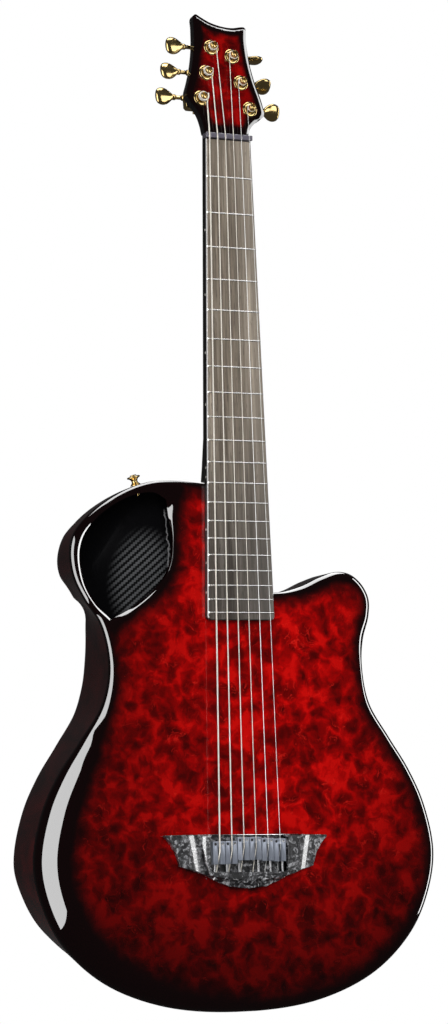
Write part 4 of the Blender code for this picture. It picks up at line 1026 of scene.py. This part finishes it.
def plain(name, colour, roughness, coat=0.0):
    """A moulded or painted finish with a faint cloud and fine grain."""
    f = Finish(name, roughness, coat=coat, coat_roughness=0.05)
    fine = f.noise(f.place, 700, 3, 0.6)
    f.bump(fine, 0.05, 0.0001)
    return f.shade(f.mix(f.times(fine, 0.5), colour, tuple(c * 0.55 for c in colour)))


dot_white = plain("dot_white", (0.82, 0.80, 0.75), 0.35)
dot_radius, dot_proud, dot_depth, dot_level = 0.0010, 0.00012, 0.0006, -board_top * 0.52
dot_places = [(3, 0), (5, 0), (7, 0), (9, 0), (12, -0.004), (12, 0.004), (15, 0), (17, 0), (19, 0)]
for fret_number, shift in dot_places:
    down = (fret_distance(fret_number) + fret_distance(fret_number - 1)) / 2 + shift
    x = -board_half_width(down)
    name = f"side_dot_{fret_number}" + ("" if not shift else "a" if shift < 0 else "b")
    dot = rod(dot_radius, (x - dot_proud, dot_level, -down), (x + dot_depth, dot_level, -down), 24)
    dot.name = name
    dot.data.materials.append(dot_white)
    smooth_edges(dot, 40)
    keep(dot, "nut_grey")


# Nut: a hard grey composite blank, slotted for the six strings, with its edges broken and its
# ends polished. It is glued to its ledge at the end of the fretboard.

def dressed(node, name, material, slot, width=0.0003, angle=30, segments=2, clamp=True, **where):
    """A copy of a node, merged and with broken edges, that stands for it."""
    source = frame["nodes"][node]
    made = bpy.data.objects.new(name, source.data.copy())
    bpy.context.collection.objects.link(made)
    made.data.materials.clear()
    made.data.materials.append(material)
    clean(made)
    only(made)
    modifier = made.modifiers.new("edges", "BEVEL")
    modifier.width = width
    modifier.segments = segments
    modifier.limit_method = "ANGLE"
    modifier.angle_limit = radians(angle)
    modifier.use_clamp_overlap = clamp
    bpy.ops.object.modifier_apply(modifier="edges")
    smooth_edges(made, angle)
    return keep(made, slot, node, **where)


nut_finish = plain("nut_composite", (0.115, 0.105, 0.135), 0.28, coat=0.5)
dressed("nut", "nut_blank", nut_finish, "nut_grey")


# Inside the body: a block for the neck, a block for the jack, braces and a plate under the
# bridge, all of carbon sheet glued to the skins.

inner_carbon = lacquered_carbon("inner_carbon", (0.020, 0.020, 0.021))
for node in ("neck_block", "end_block", "cross_brace", "bridge_plate"):
    dressed(node, f"{node}_part", inner_carbon, "raw_carbon", width=0.0005)


# Bridge: chopped carbon pressed in a mould, with bright flakes, soft edges and wings that scoop
# down beside the saddles. It is glued to the top over the plate inside.

def forged():
    """Flakes of carbon that lie every way, each one black or silver as it meets the light, that silver sheen
    painted into its colour.
    """
    f = Finish("forged_flakes", 0.34, coat=0.9, coat_roughness=0.05, specular=0.3)
    bent = f.pulled(f.place, f.place, 180, 0.006)
    flake = f.axis(0, f.cells(f.scaled((1, 1, 1.7), of=bent), 260, "Color"))
    chip = f.axis(1, f.cells(f.scaled((1.6, 1, 1), of=bent), 520, "Color"))
    tone = f.plus(f.times(flake, 0.6), f.times(chip, 0.4))
    # Painted reflection: the silver of the flakes that meet the light is part of their colour.
    colour = f.ramp(tone, (0.30, (0.006, 0.006, 0.007)), (0.52, (0.030, 0.030, 0.033)),
                    (0.68, (0.110, 0.110, 0.118)), (0.86, (0.330, 0.335, 0.350)))
    f.bump(chip, 0.18, 0.0002)
    return f.shade(colour)


bridge_piece = dressed("bridge", "bridge_moulding", forged(), "forged_carbon", width=0.0006, angle=40,
                       clamp=False, group=bridge_top)
plateau_side, scoop_start, scoop_end, scoop_height, scoop_slant = 0.049, 0.051, 0.066, 0.0030, 0.20
bass_shift, wing_top, scoop_cuts = 0.0025, 0.0044, 10
bridge_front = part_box("bridge")[1].z
scooped = bmesh.new()
scooped.from_mesh(bridge_piece.data)
for step in range(scoop_cuts + 1):
    for side, shift in ((-1, bass_shift), (1, 0)):
        cut = side * (scoop_start + (scoop_end - scoop_start) * step / scoop_cuts - shift)
        bmesh.ops.bisect_plane(scooped, geom=scooped.verts[:] + scooped.edges[:] + scooped.faces[:],
                               plane_co=(cut, 0, bridge_front), plane_no=(side, 0, -scoop_slant),
                               dist=0.000001)
for vert in scooped.verts:
    x = abs(vert.co.x) + scoop_slant * (bridge_front - vert.co.z) + (bass_shift if vert.co.x < 0 else 0)
    if vert.co.y < -wing_top and plateau_side < x < scoop_end:
        rise = (x - plateau_side) / (scoop_start - plateau_side) if x < scoop_start else (
            (scoop_end - x) / (scoop_end - scoop_start)) ** 2
        vert.co.y -= scoop_height * rise
scooped.to_mesh(bridge_piece.data)
scooped.free()
smooth_edges(bridge_piece, 20)


# Saddles: six anodised aluminium blocks that slide in the bridge on two steel height screws
# each, with a long intonation screw behind each one.

def anodised():
    """Brushed aluminium, dyed blue grey."""
    f = Finish("saddle_anodised", 0.34, metallic=0.55)
    grain = f.noise(f.scaled((1, 1, 0.15)), 1500, 2)
    f.bump(grain, 0.10, 0.00005)
    tone = f.plus(f.times(grain, 0.6), f.times(f.noise(f.place, 120, 2), 0.3))
    return f.shade(f.mix(tone, (0.22, 0.24, 0.30), (0.52, 0.57, 0.66)))


saddle_blue = anodised()
screw_steel = metal("screw_steel", (0.90, 0.90, 0.91), 0.26)
screw_black = plain("screw_black", (0.020, 0.020, 0.022), 0.30, coat=0.4)
gold = metal("gold_plate", (0.90, 0.66, 0.28), 0.13)


def turned(name, profile, material, place, sides=40, smooth=35, closed=False):
    """A round piece spun about its axis from (radius, height) pairs, put in its place."""
    rings = [[Vector((radius * cos(2 * pi * i / sides), radius * sin(2 * pi * i / sides), level))
              for i in range(sides)] for radius, level in profile]
    return piece_from(name, loft(rings, place, closed=closed), material, smooth=smooth)


def hex_socket(target, place, across, depth, top):
    """Sinks a six sided socket in the top of a screw's head."""
    rings = [[Vector((across * cos(pi * i / 3), across * sin(pi * i / 3), level)) for i in range(6)]
             for level in (top - depth, top + depth)]
    carve(target, piece_from("socket", loft(rings, place), screw_black))


height_screw_offset, height_screw_from_front, height_screw_radius = 0.0034, 0.0024, 0.0012
groove_width, groove_reach, groove_shift, groove_stop = 0.0015, 0.0052, 0.0022, 0.0062
screw_head, screw_thread, head_thickness = 0.0019, 0.00125, 0.0016
thread_pitch, thread_depth = 0.00045, 0.00022
for number in range(1, 7):
    low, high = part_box(f"saddle_{number}")
    body = f"saddle_{number}"
    block = dressed(body, f"saddle_block_{number}", saddle_blue, "saddle_grey", width=0.00035, body=body)
    carve(block, brick(((low.x + high.x) / 2, low.y, low.z + groove_shift),
                       (groove_width, groove_reach, high.z - low.z - groove_stop)))
    for side in (-1, 1):
        x = (low.x + high.x) / 2 + side * height_screw_offset
        place = Matrix.Translation((x, low.y, high.z - height_screw_from_front)) @ to_top
        screw = turned(f"height_screw_{number}_{'bass' if side < 0 else 'treble'}", [
            (height_screw_radius, -0.0007), (height_screw_radius, -0.00022),
            (height_screw_radius * 0.85, -0.00005)], screw_steel if side > 0 else screw_black, place, 28)
        hex_socket(screw, place, 0.00062, 0.0004, -0.00005)
        keep(screw, "screw_steel", body=body)
    low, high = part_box(f"intonation_screw_{number}")
    x, y = (low.x + high.x) / 2, (low.y + high.y) / 2
    along = Matrix.Translation((x, y, 0))
    profile = [(screw_head - 0.0004, low.z), (screw_head, low.z + 0.0004),
               (screw_head, low.z + head_thickness)]
    for i in range(int((high.z - low.z - head_thickness) / thread_pitch)):
        start = low.z + head_thickness + i * thread_pitch
        profile += [(screw_thread - thread_depth, start + 0.05 * thread_pitch),
                    (screw_thread, start + 0.5 * thread_pitch)]
    profile += [(screw_thread - thread_depth, high.z - 0.0001), (screw_thread * 0.5, high.z)]
    screw = turned(f"intonation_thread_{number}", profile, screw_steel, along, 20, 60)
    hex_socket(screw, along @ Matrix.Rotation(pi, 4, "X"), 0.0010, 0.0008, -low.z)
    keep(screw, "screw_steel", f"intonation_screw_{number}", body=f"intonation_screw_{number}")


# Strings: four wound with bronze wire and two of plain steel, each from its brass ball end in
# the bridge's back, over its saddle and the nut, and twice round its post.

string_diameters = (0.00135, 0.00107, 0.00081, 0.00061, 0.00041, 0.00030)
nut_spread, saddle_spread = 0.0390, 0.0579
height_at_nut, height_at_saddle = 0.0082, 0.0107
post_radius, flange_height = 0.0030, 0.0016
ball_radius, ball_length = 0.0019, 0.0030
bore_height, bore_run, winding_pitch = 0.0032, 0.004, 0.00030
crest_from_front, crest_run, crest_drop = 0.0080, 0.0030, 0.0011
turn_gap, string_tail = 0.00055, 0.0025


def across(index, spread):
    return spread * (index / 5 - 0.5)


def string_points(index):
    """The string's centre line, from its ball end over saddle and nut to its post."""
    low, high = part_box(f"string_{6 - index}")
    saddle_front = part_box(f"saddle_{6 - index}")[1].z
    radius = string_diameters[index] / 2
    x_saddle, x_nut = across(index, saddle_spread), across(index, nut_spread)
    crest, over_nut = height_at_saddle + radius, height_at_nut + radius
    bend = saddle_front - crest_from_front
    seat = low.z + ball_length
    points = [(x_saddle, seat, bore_height), (x_saddle, seat + bore_run, bore_height),
              (x_saddle, bend - crest_run, crest - crest_drop), (x_saddle, bend - 0.0004, crest - 0.00005),
              (x_saddle, bend, crest), (x_saddle, bend + crest_run, crest - 0.00001)]
    points += [(x_nut, down, over_nut) for down in (-0.001, 0.0004, nut_thickness - 0.0006)]
    made = [to_top @ Vector(p) for p in points]
    start = to_face.inverted() @ to_top @ Vector((x_nut, nut_thickness, over_nut))
    x, y, side = tuners[index]
    reach = post_radius + radius + neck_gap
    centre = Vector((x, y))
    away = centre - start.xy
    share = reach / away.length
    first = atan2(away.y, away.x) + pi - side * atan2(sqrt(1 - share * share), share)
    level = max(start.z, flange_height + neck_gap + radius)
    pitch = string_diameters[index] + turn_gap
    loop_points, turn_count = 48, 2
    for i in range(loop_points * turn_count + 1):
        turn = first - side * 2 * pi * i / loop_points
        made.append(to_face @ Vector((centre.x + cos(turn) * reach, centre.y + sin(turn) * reach,
                                      level + pitch * i / loop_points)))
    last = first - side * 2 * pi * turn_count
    off_post = Vector((sin(last), -cos(last))) * side * string_tail
    end = centre + Vector((cos(last), sin(last))) * reach + off_post
    made.append(to_face @ Vector((end.x, end.y, level + pitch * turn_count)))
    return made


def wire_finish(name, colour, wound):
    """Bright wire, with the turns of its winding where it is wound, the grooves between them painted darker
    as shade.
    """
    f = Finish(name, 0.34, metallic=0.30)
    if wound:
        turns = f.node("ShaderNodeTexWave", "Fac", {"Vector": f.place, "Scale": 1 / winding_pitch / 2},
                       bands_direction="Z")
        f.bump(turns, 0.6, 0.0001)
        # Painted shade: the grooves between the turns are darker; the turns themselves are a real bump.
        return f.shade(f.mix(turns, tuple(c * 0.72 for c in colour), colour))
    return f.shade(f.mix(f.noise(f.place, 300, 2), tuple(c * 0.9 for c in colour), colour))


wound_wire = wire_finish("string_wound", (0.96, 0.90, 0.80), True)
plain_wire = wire_finish("string_plain", (0.92, 0.92, 0.90), False)
for index, diameter in enumerate(string_diameters):
    number = 6 - index
    curve = bpy.data.curves.new(f"string_wire_{number}", "CURVE")
    curve.dimensions = "3D"
    curve.bevel_depth = diameter / 2
    curve.bevel_resolution = 3
    curve.use_fill_caps = True
    route = string_points(index)
    spline = curve.splines.new("POLY")
    spline.points.add(len(route) - 1)
    for knot, point in zip(spline.points, route):
        knot.co = (*point, 1)
    curve.materials.append(wound_wire if index < 4 else plain_wire)
    wire = bpy.data.objects.new(f"string_wire_{number}", curve)
    bpy.context.collection.objects.link(wire)
    only(wire)
    bpy.ops.object.convert(target="MESH")
    wire = bpy.context.object
    smooth_edges(wire, 60)
    keep(wire, "string_bronze", f"string_{number}")
    wires.objects.link(wire)
    low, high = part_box(f"string_{number}")
    place = Matrix.Translation((across(index, saddle_spread), -bore_height, low.z))
    half_ball = [(diameter * 0.5, 0), (ball_radius * 0.7, 0.00005), (ball_radius, 0.0005)]
    far_half = [(radius, ball_length - level) for radius, level in reversed(half_ball)]
    ball = turned(f"ball_end_{number}", half_ball + [(ball_radius * 0.78, ball_length / 2)] + far_half,
                  gold, place, 28, 50)
    keep(ball, "string_bronze")


# Machine heads: gold plated sealed housings behind the headstock, each held by one small screw,
# a bushing and washer on the face, a slotted post, and a kidney shaped button on its worm shaft.

bushing_radius, washer_radius = 0.0047, 0.0070
post_height, housing_reach, button_reach, button_length = 0.0090, 0.0085, 0.0290, 0.0155
wheel_radius, wheel_half, worm_radius = 0.0034, 0.0018, 0.0013
gear_middle = -headstock_thickness - 3 * neck_gap - wheel_half
worm_offset = wheel_radius + worm_radius + neck_gap
button_rest_turns = (0, 8, 0, 90, 48, 25)
button_flatness, button_radius, button_stem, button_dish, button_swell = 0.40, 0.0080, 0.2, 0.10, 0.85
housing_play, ear_reach, ear_thickness = 0.0004, 0.0024, 0.0016
ear_middle = -wheel_radius - housing_play - worm_radius - ear_reach
post_slot, slot_turn = (0.0080, 0.0011, 0.0044), 8

for index, (x, y, side) in enumerate(tuners):
    number = 6 - index
    dressed(f"tuner_housing_{number}", f"gear_housing_{number}", gold, "gold", width=0.0006, segments=3)
    at_post = to_face @ Matrix.Translation((x, y, 0))
    bushing = turned(f"bushing_washer_{number}", [
        (0.0034, -0.0080), (bushing_radius, -0.0080), (bushing_radius, neck_gap), (washer_radius, neck_gap),
        (washer_radius, 0.0007), (washer_radius - 0.0002, 0.0010), (washer_radius - 0.0009, 0.0013),
        (0.0054, 0.0014), (0.0052, 0.0016), (0.0040, 0.0016), (0.0034, 0.0014)], gold, at_post, 48, 35, True)
    keep(bushing, "gold", f"tuner_bushing_{number}")
    post = turned(f"slotted_post_{number}", [
        (0.0024, -headstock_thickness - 0.0068), (0.0024, -headstock_thickness - 0.0006),
        (0.0030, -headstock_thickness), (0.0030, 0.0056), (0.0028, 0.0060), (0.0026, 0.0066),
        (0.0028, 0.0072), (0.0030, 0.0076), (0.0030, 0.0084), (0.0027, 0.0088), (0.0022, post_height),
        (0.0011, post_height), (0.0010, post_height - 0.0012)], gold, at_post, 40, 30)
    slot = brick((0, 0, 0), post_slot)
    heading = atan2(y, x) + radians(slot_turn * index)
    slot.data.transform(at_post @ Matrix.Translation((0, 0, post_height)) @ Matrix.Rotation(heading, 4, "Z"))
    carve(post, slot)
    smooth_edges(post, 30)
    keep(post, "gold", f"string_post_{number}", body=f"string_post_{number}")
    ear_back = -headstock_thickness - neck_gap - ear_thickness
    screw_place = at_post @ Matrix.Translation((0, ear_middle, ear_back))
    fixing = turned(f"housing_screw_{number}", [
        (0.0009, 0.0060), (0.0010, 0.0), (0.0020, 0.0), (0.0020, -0.0003), (0.0015, -0.0009),
        (0.0006, -0.0012)], gold, screw_place, 28, 35)
    keep(fixing, "gold")

    shaft_end = button_reach - button_length / 2
    axis = at_post @ Matrix.Translation((0, worm_offset, gear_middle))
    axis = axis @ Matrix.Rotation(side * pi / 2, 4, "Y")
    axis = axis @ Matrix.Rotation(radians(button_rest_turns[index]), 4, "Z")
    worm = [(worm_radius, -0.0030), (worm_radius, housing_reach + neck_gap),
            (0.0026, housing_reach + neck_gap), (0.0026, housing_reach + 0.0028),
            (0.0024, housing_reach + 0.0031), (0.0018, housing_reach + 0.0034),
            (0.0018, shaft_end - 0.0035), (0.0024, shaft_end - 0.0032), (0.0026, shaft_end - 0.0028),
            (0.0026, shaft_end - 0.0010), (0.0024, shaft_end - 0.0004), (0.0020, shaft_end + 0.0003)]
    shaft = turned(f"button_shaft_{number}", worm, gold, axis, 32, 35)
    keep(shaft, "gold", body=f"tuner_button_{number}")
    head = [(0.10, 0.00), (0.36, 0.004), (0.44, 0.05), (0.66, 0.17), (0.88, 0.33), (0.985, 0.50),
            (1.00, 0.60), (0.965, 0.74), (0.84, 0.87), (0.60, 0.96), (0.32, 0.997), (0.06, 1.00)]
    sides = 40
    rings = []
    for share, place in head:
        flat = button_flatness + (1 - button_flatness) * max(0, 1 - place / button_stem)
        dish = 1 - button_dish * sin(pi * min(place, 1))
        ring = []
        for i in range(sides):
            turn = 2 * pi * i / sides
            c, s = cos(turn), sin(turn)
            thick = share * button_radius * flat * (abs(c) ** button_swell) * (1 if c > 0 else -1)
            ring.append(Vector((thick * dish, share * button_radius * s,
                                shaft_end + place * button_length)))
        rings.append(ring)
    knob = piece_from(f"kidney_button_{number}", loft(rings, axis), gold, smooth=60)
    keep(knob, "gold", f"tuner_button_{number}", body=f"tuner_button_{number}")


# Strap button on the bass shoulder: a turned, gold plated button on a screw whose nut is inside
# the wall, and the output jack, held in the tail by a nut inside, with a flat gold ring.

gold_soft = metal("gold_satin", (0.88, 0.63, 0.25), 0.20)
button_record = [m for m in frame["record"]["mounts"] if m["name"] == "strap_button_face"][0]
strap_out = Vector(button_record["axis"]).normalized()
strap_height, strap_head = 0.0085, 0.0012
strap_at = Vector(button_record["pos_m"]) - strap_out * (strap_height + strap_head)


def facing(spot, out):
    """The place of a turned piece that stands at a spot and points outwards."""
    return Matrix.Translation(spot) @ out.to_track_quat("Z", "Y").to_matrix().to_4x4()


strap_place = facing(strap_at, strap_out)
strap = turned("strap_peg", [
    (0.0018, 0.0003), (0.0046, 0.0003), (0.0045, 0.0009), (0.0036, 0.0018), (0.0028, 0.0027),
    (0.0026, 0.0038), (0.0029, 0.0051), (0.0040, 0.0063), (0.0054, 0.0069), (0.0058, 0.0073),
    (0.0058, 0.0078), (0.0054, 0.0082), (0.0048, 0.0085), (0.0018, 0.0085)],
    gold_soft, strap_place, 48, 35, True)
keep(strap, "gold", "strap_button")
strap_screw = turned("strap_peg_screw", [
    (0.0015, -0.0085), (0.0015, 0.0088), (0.0030, 0.0088), (0.0030, 0.0093), (0.0025, 0.0096),
    (0.0012, 0.0097)], gold_soft, strap_place, 36, 35)
hex_socket(strap_screw, strap_place, 0.0011, 0.0007, 0.0097)
keep(strap_screw, "gold", "strap_button_screw")
dressed("strap_button_nut", "strap_peg_nut", gold_soft, "gold")

jack_place = facing(jack_face, jack_out)
jack = turned("jack_barrel", [
    (0.0033, -0.034), (0.0060, -0.034), (0.0060, 0.0003), (0.0105, 0.0003), (0.0105, 0.0010),
    (0.0102, 0.0014), (0.0094, 0.0019), (0.0090, 0.0020), (0.0046, 0.0020), (0.0040, 0.0017),
    (0.0034, 0.0012)], gold_soft, jack_place, 64, 35, True)
keep(jack, "gold", "output_jack")
dressed("jack_nut", "jack_lock_nut", screw_steel, "screw_steel")


def corners(box):
    return [list(corner) for corner in box]


{"cad": corners(cad_box), "visual": corners(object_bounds())}
